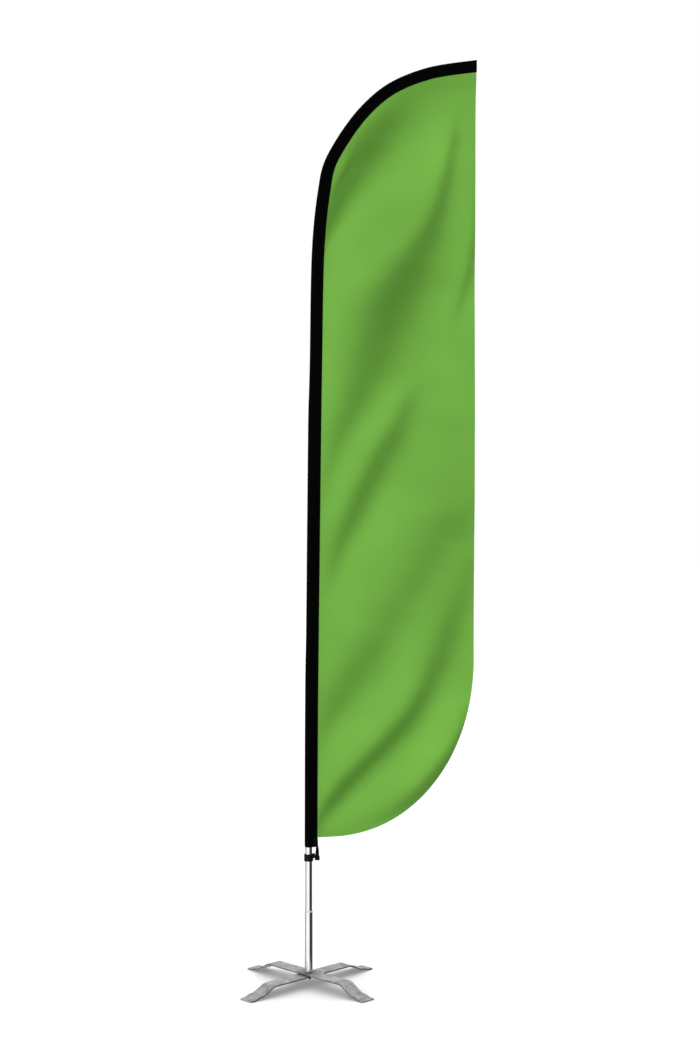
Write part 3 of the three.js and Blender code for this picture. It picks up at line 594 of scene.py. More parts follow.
# A nut: the radius is the smaller of the hexagon's and of a shallow cone's at each end.
def nutPiece():
    low, high = (corner.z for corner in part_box("pivot_nut"))
    angle = np.linspace(0, 2 * np.pi, 144, endpoint=False)
    sector = (angle + math.pi / 6) % (math.pi / 3) - math.pi / 6
    hexagon = nut["acrossFlats"] / 2 / np.cos(sector)
    heights = np.concatenate([low + np.linspace(0, 0.0016, 9), high - np.linspace(0.0016, 0, 9)])
    fromFace = np.minimum(heights - low, high - heights)[:, None]
    cone = nut["acrossFlats"] / 2 * 0.985 + fromFace / math.tan(nut["chamfer"])
    radius = np.minimum(hexagon, cone)
    bore = nut["bore"] + np.array([0, 0.0006])[:, None] + 0 * angle
    radii = np.vstack([bore[1], radius, bore[1], bore[0], bore[0]])
    levels = np.concatenate([[low], heights, [high], [high - 0.0006], [low + 0.0006]])
    x, y = poleX + radii * np.cos(angle), radii * np.sin(angle)
    grid = np.stack([x, y, np.broadcast_to(levels[:, None], x.shape)], axis=-1)
    made = makePiece("nut", [(grid, True, True, None)], "machined_steel", "base",
                     replaces=("pivot_nut",), slot="machined_steel")
    made.data.set_sharp_from_angle(angle=math.radians(24))


nutPiece()

stud = {"foot": 16.5, "shank": 6, "pitch": 1.0, "flange": 10, "flangeFoot": 44.2, "flangeTop": 46.7,
        "shoulder": 6.5, "shoulderTop": 50.0, "shaft": 5, "groove": (242.6, 244.2, 4.4), "top": 246.2}


# The stud: a turned profile, with its thread a ripple that climbs one pitch a turn.
def studPiece():
    low, top, pitch = stud["foot"], stud["flangeFoot"], stud["pitch"]
    threadZ = np.arange(low + 1.2, top - 4.8, pitch / 6)
    above = softened([(stud["shank"], top - 4.6), (stud["shank"], top), (stud["flange"], top),
                      (stud["flange"], stud["flangeTop"]), (stud["shoulder"], stud["flangeTop"]),
                      (stud["shoulder"], stud["shoulderTop"]), (stud["shaft"], stud["shoulderTop"]),
                      (stud["shaft"], stud["groove"][0]), (stud["groove"][2], stud["groove"][0]),
                      (stud["groove"][2], stud["groove"][1]), (stud["shaft"], stud["groove"][1]),
                      (stud["shaft"], stud["top"]), (0, stud["top"])], 0.3)
    below = np.array([(0, low), (stud["shank"] - 1.2, low), (stud["shank"] - 1.0, low + 0.1)])
    profile = np.vstack([below, np.stack([0 * threadZ + stud["shank"], threadZ], axis=1), above])
    grid, uv = turnedGrid(profile / 1000, 72)
    angle = np.linspace(0, 2 * np.pi, 72, endpoint=False)
    z = grid[:, :, 2] * 1000
    climb = z / pitch - angle / (2 * np.pi)
    ripple = np.abs(climb % 1 - 0.5) * 2
    threaded = (z > low + 1) & (z < top - 4.7)
    shrink = 1 - 0.09 * ripple * threaded
    grid[:, :, 0] = poleX + (grid[:, :, 0] - poleX) * shrink
    grid[:, :, 1] *= shrink
    makePiece("stud", [(grid, False, True, uv)], "machined_steel", "base",
              replaces=("pivot_stud",), slot="machined_steel")


studPiece()

spindle = {"foot": 45.0, "flange": 14.8, "flangeTop": 47.0, "radius": 12.8, "seat": 11.3,
           "bore": 9.0, "ledges": (56.6, 236.0), "groove": (10.5, 1.5),
           "ringCentre": 12.0, "ringSection": 1.2, "capClear": 0.3, "capRim": 3.2, "capRise": 6}
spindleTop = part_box("spindle_tube")[1].z * 1000


def spindlePieces():
    radius, seat, bore = spindle["radius"], spindle["seat"], spindle["bore"]
    grooveDepth, halfGroove = spindle["groove"]
    rings = [(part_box(f"spindle_ring_{k}")[0].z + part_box(f"spindle_ring_{k}")[1].z) * 500
             for k in (1, 2)]
    grooves = [point for z in rings for point in
               ((radius, z - halfGroove), (grooveDepth, z - halfGroove),
                (grooveDepth, z + halfGroove), (radius, z + halfGroove))]
    low, high = spindle["ledges"]
    turnedPiece("spindle",
                [(spindle["flange"], spindle["foot"]), (spindle["flange"], spindle["flangeTop"]),
                 (radius, spindle["flangeTop"]), *grooves, (radius, spindleTop), (seat, spindleTop),
                 (seat, high), (bore, high), (bore, low), (seat, low), (seat, spindle["foot"])],
                "machined_steel", "spindle", replaces=("spindle_tube",), slot="machined_steel")
    angle = np.linspace(0, 2 * np.pi, 20, endpoint=False)
    for k, z in enumerate(rings, 1):
        section = np.stack([spindle["ringCentre"] + spindle["ringSection"] * np.cos(angle),
                            z + spindle["ringSection"] * np.sin(angle)], axis=1) / 1000
        grid, uv = turnedGrid(section)
        makePiece(f"rubberRing{k}", [(grid, True, True, uv)], "rubber", "spindle",
                  replaces=(f"spindle_ring_{k}",), slot="rubber")
    lip, rim = spindleTop + spindle["capClear"], spindleTop + 3.5
    rise = spindle["capRise"]
    dome = [(radius * math.cos(a), rim + rise * math.sin(a))
            for a in np.linspace(0.12, math.pi / 2, 14)]
    dome[-1] = (0, rim + rise - 0.1)
    profile = [(0, lip - 5), (seat - 0.6, lip - 5), (seat - 0.3, lip - 4.4), (seat - 0.3, lip),
               (radius - 0.4, lip), (radius, lip + 0.4), (radius, rim), *dome]
    grid, uv = turnedGrid(np.array(profile) / 1000)
    makePiece("spindleCap", [(grid, False, True, uv)], "black_plastic", "spindle",
              replaces=("spindle_cap",), slot="black_plastic")


spindlePieces()

poles = {"foot": 47.3, "bell": 14.8, "bellBore": 13.5, "bellTaper": 8, "radius": 13.25, "wall": 1.4,
         "top": 1150, "rim": 0.5, "capRoom": 3.5}


# The bottom pole: its foot is swaged wider over the spindle, with a smooth shoulder above.
def bottomPolePiece():
    capTop = spindleTop + spindle["capClear"] + spindle["capRim"] + spindle["capRise"]
    taperTop = capTop + poles["capRoom"] + poles["bellTaper"]
    taperFoot = taperTop - poles["bellTaper"]
    t = np.linspace(0, 1, 12)
    ease = t * t * (3 - 2 * t)
    shoulder = np.stack([poles["bell"] + (poles["radius"] - poles["bell"]) * ease,
                         taperFoot + poles["bellTaper"] * t], axis=1)
    bore = poles["radius"] - poles["wall"]
    inner = np.stack([poles["bellBore"] + (bore - poles["bellBore"]) * ease,
                      taperFoot + 1.3 + poles["bellTaper"] * t], axis=1)
    rim = poles["rim"]
    profile = np.vstack([
        [(poles["bellBore"] + rim, poles["foot"]), (poles["bell"] - rim, poles["foot"]),
         (poles["bell"] - 0.15, poles["foot"] + 0.15), (poles["bell"], poles["foot"] + rim),
         (poles["bell"], poles["foot"] + 2)],
        shoulder,
        [(poles["radius"], poles["top"] - 2), (poles["radius"], poles["top"] - 0.3),
         (poles["radius"] - 0.3, poles["top"]), (bore + 0.3, poles["top"]),
         (bore, poles["top"] - 0.3), (bore, poles["top"] - 2)],
        inner[::-1],
        [(poles["bellBore"], poles["foot"] + 2), (poles["bellBore"], poles["foot"] + rim)]]) / 1000
    closed = divided(np.vstack([profile, profile[:1]]), 0.03)[:-1]
    grid, uv = bentGrid(closed, 96)
    makePiece("bottomPole", [(grid, True, True, uv)], "pole_aluminium", "mast",
              replaces=("bottom_pole",), slot="pole_aluminium")


bottomPolePiece()
carried = {
    "mid_pole": "pole_aluminium", "mid_ferrule": "pole_aluminium", "upper_pole": "fibreglass",
    "tip_ferrule": "pole_aluminium", "tip_pole": "fibreglass", "tip_cap": "rubber",
    "tip_pad": "padding_cloth", "lower_inner_race": "bearing_steel",
    "upper_inner_race": "bearing_steel", "lower_outer_race": "bearing_steel",
    "upper_outer_race": "bearing_steel", "lower_ball_set": "bearing_steel",
    "upper_ball_set": "bearing_steel", "stud_circlip": "machined_steel",
}
for node, finish in carried.items():
    nodes[node].data.materials.clear()
    nodes[node].data.materials.append(finishes[finish])
print("pivot, spindle and poles made")

# The sleeve: cloth round the pole, closed by a flat seam on the sail's side.

sleeve = {
    "foot": 0.506, "cut": 0.6206, "nose": [(0.5, 15.05), (1.15, 15.05), (1.27, 13.35), (2.1, 13.35),
                                           (2.24, 10.4), (2.94, 9.6), (3.05, 8.2), (3.6, 7.9)],
    "reach": (0.0322, 0.0365), "bendStart": 0.77, "margin": 0.008, "halfEdge": 0.0012,
    "wall": 0.0007, "rows": 520, "puckers": 0.00045, "closed": 0.020,
    "endStep": 0.0003,
}
leanEnd = bow["straightTop"] + (bow["top"] - bow["straightTop"]) * sleeve["bendStart"]
sleeveEnd = float(lengthWhere(sleeve["cut"], 0)[0])


# How far the seam lies from the pole's axis at a length along the pole.
def seamReach(along):
    share = np.clip((along - sleeve["foot"]) / (leanEnd - sleeve["foot"]), 0, 1)
    return sleeve["reach"][0] + (sleeve["reach"][1] - sleeve["reach"][0]) * share


# Radius of the cloth round the back of the pole.
def noseRadius(along):
    known = np.array(sleeve["nose"])
    smooth = [np.interp(along + shift, known[:, 0], known[:, 1]) for shift in (-0.04, 0, 0.04)]
    return sum(smooth) / 3000


# A sum of a few waves of random length and phase, between about -1 and 1.
def waves(value, longest, shortest, count, seed):
    source = np.random.default_rng(seed)
    lengths = np.geomspace(longest, shortest, count) * source.uniform(0.85, 1.15, count)
    phases = source.uniform(0, 2 * np.pi, count)
    total = sum(np.sin(2 * np.pi * value / size + phase) for size, phase in zip(lengths, phases))
    return total / math.sqrt(count)


# The sleeve's section at each length: from the seam flat along its margin, straight to the pole,
# round behind it and back. Columns run round the section, rows along the pole.
def sleeveSection(along, lift=0.0):
    nose, reach = noseRadius(along)[:, None] + lift, seamReach(along)[:, None]
    edge = sleeve["halfEdge"] + lift
    marginX = reach - sleeve["margin"]
    far = np.hypot(marginX, edge)
    tangent = np.arctan2(edge, marginX) + np.arccos(nose / far)
    arc = np.linspace(0, 1, 15)
    angle = tangent + (np.pi - tangent) * arc
    arcX, arcY = nose * np.cos(angle), nose * np.sin(angle)
    t = np.linspace(0, 1, 9)[1:-1]
    ease = t * t * (3 - 2 * t)
    side = 0.7 * t + 0.3 * ease
    sideX = marginX + (arcX[:, :1] - marginX) * t
    sideY = edge + (arcY[:, :1] - edge) * side
    m = np.linspace(0, 1, 4)
    flatX = reach - sleeve["margin"] * m
    flatY = np.broadcast_to(edge, (len(along), 1)) + 0 * m
    halfX = np.hstack([flatX, sideX, arcX])
    halfY = np.hstack([flatY, sideY, arcY])
    offset = np.hstack([halfX, halfX[:, -2::-1]])
    y = np.hstack([halfY, -halfY[:, -2::-1]])
    return offset, y


def sleevePiece():
    share = np.append(np.linspace(0, 1 - sleeve["endStep"], sleeve["rows"] - 1), 1)
    along = sleeve["foot"] + (sleeveEnd - sleeve["foot"]) * share
    offset, y = sleeveSection(along)
    ends = np.interp(offset[-1], *endTable())
    foot = sleeve["foot"] + footLift(offset[0])
    lengths = foot + (ends - foot) * share[:, None]
    column = np.linspace(-1, 1, offset.shape[1])
    side = 1 - np.abs(np.abs(column) * 2 - 1)
    pucker = waves(lengths, 0.05, 0.011, 6, 3) * np.exp(-((np.abs(column) - 0.8) / 0.14) ** 2)
    drift = waves(lengths + 0.02 * column, 0.5, 0.09, 6, 5) * side
    y = y + np.sign(y) * (sleeve["puckers"] * pucker + 0.0006 * drift) * (np.abs(column) < 0.93)
    shut = np.clip((sleeveEnd - along) / sleeve["closed"], 0, 1)[:, None]
    flat = np.clip(np.abs(y), 0, 0.0011)
    y = np.sign(y) * (flat + (np.abs(y) - flat) * (shut * (2 - shut)) ** 0.7)
    y[-1] = 0
    x, z = bowPoint(lengths, offset)
    around = np.cumsum(np.hstack([np.zeros((len(along), 1)),
                                  np.hypot(np.diff(offset, axis=1), np.diff(y, axis=1))]), axis=1)
    grid = np.stack([x + poleX, y, z], axis=-1)[:, ::-1]
    uv = np.stack([around - around[:, -1:] / 2, lengths], axis=-1)[:, ::-1]
    made = makePiece("sleeve", [(grid, False, False, uv)], "black_cloth", "mast",
                     replaces=("pole_sleeve",), slot="black_cloth", wall=sleeve["wall"],
                     outward=False)
    widths = around[:, -1]
    return made, float(widths.mean()), float(sleeveEnd - sleeve["foot"])


# Where lines at many offsets from the pole's axis reach the cut at the tip.
def endTable():
    offsets = np.linspace(-0.03, 0.06, 40)
    return offsets, lengthWhere(sleeve["cut"], offsets)


# The foot's corners: rounded behind the pole, cut up towards the seam.
def footLift(offset):
    behind = np.clip((-0.009 - offset) / 0.006, 0, 1)
    towardsSeam = np.clip((offset - 0.016) / 0.014, 0, 1)
    return 0.0035 * behind ** 2 + 0.005 * towardsSeam


sleeveObject, sleeveGirth, sleeveLength = sleevePiece()
print("sleeve made, girth", round(sleeveGirth, 4), "length", round(sleeveLength, 4))

# The sail. Each fold is a line down the cloth, given from top to bottom as x and z from the pole's axis and
# the floor, with the fold's half width and how steeply the cloth leans at its middle.

sail = {
    "foot": 0.541, "corner": (0.6105, 1.200), "roundness": (1.96, 2.30), "tuck": 0.006, "wall": 0.0005,
    "freeEdge": [(1.2, 0.6105), (1.5, 0.6116), (2.0, 0.6134), (2.9, 0.6150), (3.25, 0.6168),
                 (3.34, 0.6187), (3.42, 0.6190)],
    "rows": (110, 250), "columns": 112, "hem": 0.011, "hemHalf": 0.0006, "seamHold": 0.10,
    "foldSpread": 2.5,
}
folds = [
    [(0.400, 3.360, 0.070, 0.00), (0.338, 3.285, 0.080, 0.35), (0.262, 3.178, 0.088, 0.66),
     (0.192, 3.072, 0.084, 0.80), (0.140, 2.972, 0.070, 0.82), (0.098, 2.879, 0.052, 0.80),
     (0.062, 2.789, 0.038, 0.78), (0.026, 2.690, 0.032, 0.30)],
    [(0.175, 3.090, 0.009, 0.00), (0.150, 3.030, 0.009, 0.26), (0.112, 2.955, 0.009, 0.26),
     (0.085, 2.900, 0.009, 0.10)],
    [(0.546, 3.230, 0.022, 0.00), (0.539, 3.117, 0.026, 0.40), (0.518, 3.002, 0.030, 0.46),
     (0.490, 2.887, 0.036, 0.50), (0.457, 2.789, 0.048, 0.54), (0.398, 2.674, 0.074, 0.60),
     (0.335, 2.559, 0.100, 0.64), (0.280, 2.445, 0.110, 0.58), (0.240, 2.330, 0.105, 0.56),
     (0.200, 2.215, 0.088, 0.53), (0.150, 2.100, 0.064, 0.50), (0.100, 2.002, 0.050, 0.42),
     (0.075, 1.904, 0.040, 0.34), (0.045, 1.789, 0.040, 0.25), (0.026, 1.690, 0.040, 0.00)],
    [(0.411, 2.250, 0.040, 0.00), (0.370, 2.150, 0.048, 0.34), (0.329, 2.051, 0.052, 0.50),
     (0.263, 1.937, 0.054, 0.58), (0.198, 1.806, 0.052, 0.62), (0.154, 1.707, 0.048, 0.58),
     (0.108, 1.601, 0.040, 0.40), (0.075, 1.494, 0.040, 0.22), (0.050, 1.396, 0.040, 0.00)],
    [(0.628, 2.960, 0.020, 0.10), (0.618, 2.756, 0.022, 0.42), (0.592, 2.610, 0.022, 0.42),
     (0.558, 2.498, 0.022, 0.26), (0.525, 2.400, 0.024, 0.00)],
    [(0.600, 1.789, 0.090, 0.18), (0.518, 1.675, 0.095, 0.25), (0.427, 1.543, 0.095, 0.29),
     (0.345, 1.412, 0.090, 0.31), (0.264, 1.281, 0.085, 0.33), (0.182, 1.158, 0.080, 0.38),
     (0.108, 1.052, 0.068, 0.38), (0.059, 0.953, 0.050, 0.34), (0.026, 0.855, 0.045, 0.10)],
    [(0.616, 1.592, 0.072, 0.18), (0.575, 1.461, 0.070, 0.32), (0.526, 1.330, 0.066, 0.42),
     (0.482, 1.199, 0.058, 0.50), (0.434, 1.084, 0.050, 0.60), (0.370, 0.978, 0.044, 0.70),
     (0.296, 0.896, 0.042, 0.72), (0.214, 0.814, 0.040, 0.76), (0.141, 0.740, 0.038, 0.76),
     (0.075, 0.658, 0.034, 0.74), (0.034, 0.593, 0.030, 0.60)],
    [(0.610, 1.080, 0.036, 0.00), (0.585, 0.953, 0.036, 0.60), (0.544, 0.860, 0.038, 0.86),
     (0.486, 0.776, 0.038, 0.86), (0.419, 0.705, 0.036, 0.68), (0.345, 0.642, 0.034, 0.38),
     (0.255, 0.585, 0.032, 0.00)],
]


# A value given at a few heights, joined up and evened out over a hand's breadth.
def evened(z, heights, values):
    table = np.arange(0.3, 3.7, 0.005)
    order = np.argsort(heights)
    joined = np.interp(table, np.asarray(heights)[order], np.asarray(values)[order])
    window = np.hanning(19)
    padded = np.pad(joined, 9, mode="edge")
    return np.interp(z, table, np.convolve(padded, window / window.sum(), mode="valid"))


# How far the cloth stands from its flat plane. Across a fold, t half widths from its middle, the
# cloth steps back by tanh(t) and comes forward again more gently, by tanh(t / spread).
def clothDepth(x, z):
    depth = np.zeros(np.broadcast(x, z).shape)
    for fold in folds:
        line = np.array(fold)
        top, foot = line[0], line[-1]
        lineX = evened(z, line[:, 1], line[:, 0])
        above, below = (evened(z + shift, line[:, 1], line[:, 0]) for shift in (0.01, -0.01))
        slope = (above - below) / 0.02
        width = evened(z, line[:, 1], line[:, 2])
        steep = evened(z, line[:, 1], line[:, 3])
        steep = steep * np.clip((top[1] + 0.05 - z) / 0.1, 0, 1)
        steep = steep * np.clip((z - foot[1] + 0.1) / 0.12, 0, 1)
        t = (x - lineX) / np.sqrt(1 + slope ** 2) / width
        depth = depth + steep * width * (np.tanh(t) - np.tanh(t / sail["foldSpread"]))
    return depth / (1 - 1 / sail["foldSpread"])


# The seam's x at a height, for a line at this offset past the seam.
def seamLine(extra):
    along = np.linspace(sail["foot"] - 0.05, bowLength, 3000)
    return bowPoint(along, seamReach(along) + extra)


tuckX, tuckZ = seamLine(-sail["tuck"])
seamX, seamZ = seamLine(0)


def freeEdgeX(z):
    cornerX, cornerZ = sail["corner"]
    footX = sleeve["reach"][0]
    down = np.clip((cornerZ - z) / (cornerZ - sail["foot"]), 0, 1)
    across = (1 - down ** sail["roundness"][0]) ** (1 / sail["roundness"][1])
    edge = np.array(sail["freeEdge"])
    return np.where(z < cornerZ, footX + (cornerX - footX) * across,
                    np.interp(z, edge[:, 0], edge[:, 1]))


# The cloth's depth with its hold at the seam: the depth found at the nearest seam point is taken
# off, less and less with the distance from the seam.
def heldDepth(x, z):
    fromSeam = np.clip(x - np.interp(z, seamZ, seamX), 0, None)
    drop = np.clip(np.interp(x, seamX, seamZ) - z, 0, None)
    span = fromSeam ** 2 + drop ** 2 + 1e-12
    distance = fromSeam * drop / np.sqrt(span)
    share = fromSeam ** 2 / span
    atSeam = clothDepth(x - fromSeam * (1 - share), z + drop * share)
    gathers = waves(z + 0.6 * x, 0.06, 0.016, 5, 21) * 0.0005 * np.exp(-distance / 0.02)
    hold = np.exp(-distance / sail["seamHold"])
    ripple = waves(z + 0.3 * x, 0.5, 0.12, 4, 8) * 0.0012 * (1 - hold)
    return clothDepth(x, z) - atSeam * hold + ripple + gathers * (distance > 0)


def sailRows():
    cornerZ = sail["corner"][1]
    angle = np.linspace(np.pi / 2, 0, sail["rows"][0])
    low = cornerZ - (cornerZ - sail["foot"]) * np.sin(angle) ** (2 / sail["roundness"][0])
    topZ = np.interp(freeEdgeX(np.array(3.42)), tuckX, tuckZ)
    along = np.linspace(0, 1, sail["rows"][1] + 1)[1:]
    run = np.concatenate([[0], np.cumsum(np.hypot(np.diff(tuckX), np.diff(tuckZ)))])
    runAt = [np.interp(z, tuckZ, run) for z in (cornerZ, topZ)]
    high = np.interp(runAt[0] + (runAt[1] - runAt[0]) * along, run, tuckZ)
    return np.concatenate([low, high])


def sailPiece():
    z = sailRows()[:, None]
    left, right = np.interp(z, tuckZ, tuckX), freeEdgeX(z)
    right = np.maximum(right, left)
    u = np.linspace(0, 1, sail["columns"])
    x = left + (right - left) * u
    z = np.broadcast_to(z, x.shape)
    grid = np.stack([x + poleX, heldDepth(x, z), z], axis=-1)
    uv = np.stack([x, z], axis=-1)
    made = makePiece("sailCloth", [(grid, False, False, uv)], "green_cloth", "mast",
                     replaces=("sail",), slot="green_cloth", wall=sail["wall"], outward=False)
    made.modifiers["wall"].offset = 0
    return made


sailObject = sailPiece()


# The free edge from the foot's corner to the tip: points, and the direction into the cloth.
def edgeLine(count):
    z = sailRows()
    x = freeEdgeX(z)
    keep = (z < sail["corner"][1]) | (z < np.interp(x, seamX, seamZ) + 0.001)
    x, z = x[keep], z[keep]
    run = np.concatenate([[0], np.cumsum(np.hypot(np.diff(x), np.diff(z)))])
    even = np.linspace(0, run[-1], count)
    x, z = np.interp(even, run, x), np.interp(even, run, z)
    return x, z, directions(np.stack([x, z], axis=1))[1], even


# The hem wraps the free edge: its section is a flat loop round the cloth, carried along the edge.
def hemPiece():
    x, z, inward, run = edgeLine(560)
    deep, half = sail["hem"], sail["hemHalf"]
    turn = np.linspace(-np.pi / 2, np.pi / 2, 7)
    across = np.concatenate([[deep, deep - 0.0003], np.linspace(deep - 0.001, half, 6),
                             half - half * np.cos(turn)[1:-1],
                             np.linspace(half, deep - 0.001, 6), [deep - 0.0003, deep]])
    level = np.concatenate([[-0.0002, -half], np.full(6, -half), half * np.sin(turn)[1:-1],
                            np.full(6, half), [half, 0.0002]])
    px = x[:, None] + inward[:, :1] * across
    pz = z[:, None] + inward[:, 1:] * across
    px, pz = np.broadcast_to(px, (len(x), len(across))), np.broadcast_to(pz, (len(x), len(across)))
    pucker = waves(run, 0.03, 0.008, 5, 31)[:, None] * 0.00012
    y = heldDepth(px, pz) + level + pucker * (across > half)
    grid = np.stack([px + poleX, y, pz], axis=-1)
    uv = np.stack(np.broadcast_arrays(across, run[:, None]), axis=-1)
    return makePiece("sailHem", [(grid, False, True, uv)], "green_cloth", "mast",
                     slot="green_cloth", caps=endCaps(grid))


hemObject = hemPiece()


# Rows of small stitches, each a slim bead along the thread's direction, half sunk in the cloth.
def stitchPiece(name, centres, directions, length, thick, finish, body):
    centres = np.asarray(centres, float)
    along = np.asarray(directions, float)
    along = along / np.linalg.norm(along, axis=1)[:, None]
    helper = np.where(np.abs(along[:, :1]) > 0.9, (0.0, 0.0, 1.0), (1.0, 0.0, 0.0))
    side = np.cross(along, helper)
    side /= np.linalg.norm(side, axis=1)[:, None]
    up = np.cross(along, side)
    place = np.array([-0.5, -0.34, 0.0, 0.34, 0.5]) * length
    girth = np.array([0.0, 0.75, 1.0, 0.75, 0.0]) * thick / 2
    angle = np.arange(4) * np.pi / 2 + np.pi / 4
    ring = (side[:, None, None] * np.cos(angle)[:, None] + up[:, None, None] * np.sin(angle)[:, None])
    points = (centres[:, None, None] + along[:, None, None] * place[:, None, None]
              + ring * girth[:, None, None])
    one = gridQuads(5, 4, False, True)
    mesh = bpy.data.meshes.new(name)
    offsets = np.arange(len(centres))[:, None, None] * 20
    quads = (one[None] + offsets).reshape(-1, 4)
    mesh.from_pydata(points.reshape(-1, 3).tolist(), [], quads.tolist())
    layer = mesh.uv_layers.new(name="surface")
    corner = np.array([[0, 0], [0.001, 0], [0.001, 0.001], [0, 0.001]])
    layer.data.foreach_set("uv", np.tile(corner, (len(quads), 1)).astype(np.float32).ravel())
    tidy = bmesh.new()
    tidy.from_mesh(mesh)
    bmesh.ops.remove_doubles(tidy, verts=tidy.verts, dist=1e-7)
    bmesh.ops.recalc_face_normals(tidy, faces=tidy.faces)
    tidy.to_mesh(mesh)
    tidy.free()
    mesh.shade_smooth()
    made = bpy.data.objects.new(name, mesh)
    bpy.context.scene.collection.objects.link(made)
    mesh.materials.append(finishes[finish])
    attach(made, body)
    return made


stitches = {"length": 0.0026, "pitch": 0.0034, "thick": 0.0005}


def hemStitches():
    count = int(3.6 / stitches["pitch"])
    x, z, inward, _ = edgeLine(count)
    x = x + inward[:, 0] * (sail["hem"] - 0.0015)
    z = z + inward[:, 1] * (sail["hem"] - 0.0015)
    centre, direction = [], []
    for side in (-1, 1):
        y = heldDepth(x, z) + side * sail["hemHalf"]
        points = np.stack([x + poleX, y, z], axis=1)
        centre.append(points)
        direction.append(np.gradient(points, axis=0))
    return stitchPiece("hemStitches", np.vstack(centre), np.vstack(direction), stitches["length"],
                       stitches["thick"], "green_thread", "mast")


def seamStitches():
    along = np.arange(sleeve["foot"] + 0.012, sleeveEnd - 0.004, stitches["pitch"])
    centre, direction = [], []
    for inset in (0.002, 0.0055):
        offset = seamReach(along) - inset
        x, z = bowPoint(along, offset)
        keep = x < sleeve["cut"] - 0.003
        for side in (-1, 1):
            y = np.full(len(x), side * sleeve["halfEdge"])
            points = np.stack([x + poleX, y, z], axis=1)[keep]
            centre.append(points)
            direction.append(np.gradient(points, axis=0))
    return stitchPiece("seamStitches", np.vstack(centre), np.vstack(direction), stitches["length"],
                       stitches["thick"], "black_thread", "mast")


hemThread, seamThread = hemStitches(), seamStitches()

# What holds the sleeve down: a webbing tab, an elastic loop and the collar with its hook.

tab = {"foot": 0.5053, "top": 0.541, "inner": 0.017, "outer": 0.0318, "wall": 0.0014, "gap": 0.0003}


# The tab is a strip folded over the sleeve's edge: an even wall round a slim hairpin, pulled out a
# little where the elastic hangs from it.
def tabPiece():
    along = np.array([0.52])
    offset, y = sleeveSection(along, tab["gap"])
    half = offset.shape[1] // 2
    sectionX, sectionY = offset[0, :half][::-1], np.abs(y[0, :half])[::-1]
    startX = np.linspace(tab["inner"], sleeve["reach"][0] - 0.0012, 9)
    innerY = np.interp(startX, sectionX, sectionY)
    bend = np.linspace(0, np.pi / 2, 6)[1:]
    bendR = innerY[-1]
    inner = np.vstack([np.stack([startX, innerY], axis=1),
                       np.stack([startX[-1] + bendR * np.sin(bend), bendR * np.cos(bend)], axis=1)])
    inner = np.vstack([inner, (inner * (1, -1))[-2::-1]])
    outward = directions(inner)[1]
    if outward[0, 1] < 0:
        outward = -outward
    outer = inner + outward * tab["wall"]
    loop = np.vstack([inner, outer[::-1]])
    z = np.linspace(tab["foot"], tab["top"], 24)
    swell = np.interp(z, [tab["foot"], 0.518, tab["top"]], [0.0012, 0.0008, 0.0])
    grid = np.empty((len(z), len(loop), 3))
    outside = np.concatenate([np.zeros(len(inner)), np.ones(len(outer))])
    nearEdge = np.clip((loop[:, 0] - 0.026) / 0.005, 0, 1)
    soft = np.clip(np.minimum(z - z[0], z[-1] - z) / 0.0008, 0, 1)
    thin = 0.6 + 0.4 * np.sqrt(soft)
    middle = np.vstack([inner, inner[::-1]])
    for k in range(2):
        grid[:, :, k] = middle[:, k] + (loop[:, k] - middle[:, k]) * thin[:, None]
    grid[:, :, 0] += poleX + swell[:, None] * nearEdge * outside
    grid[:, :, 2] = z[:, None]
    run = runAlong(loop)
    uv = np.stack(np.broadcast_arrays(run[None], z[:, None]), axis=-1)
    count = len(loop)
    last = (len(z) - 1) * count
    caps = []
    half = len(inner)
    for base in (0, last):
        for k in range(half - 1):
            caps.append([base + k, base + k + 1, base + count - 2 - k, base + count - 1 - k])
    return makePiece("webbingTab", [(grid, False, True, uv)], "black_webbing", "mast",
                     replaces=("loop_tab",), slot="black_webbing", caps=caps)


tabPiece()

elastic = {"middle": 0.0317, "width": (0.0088, 0.0118, 0.0132),
           "flare": (0.4874, 0.4956, 0.5057), "thick": 0.0016, "axis": 0.464,
           "inside": 0.0063, "top": 0.5057, "join": 0.4967, "heldTop": 0.5000, "heldFoot": 0.4730}


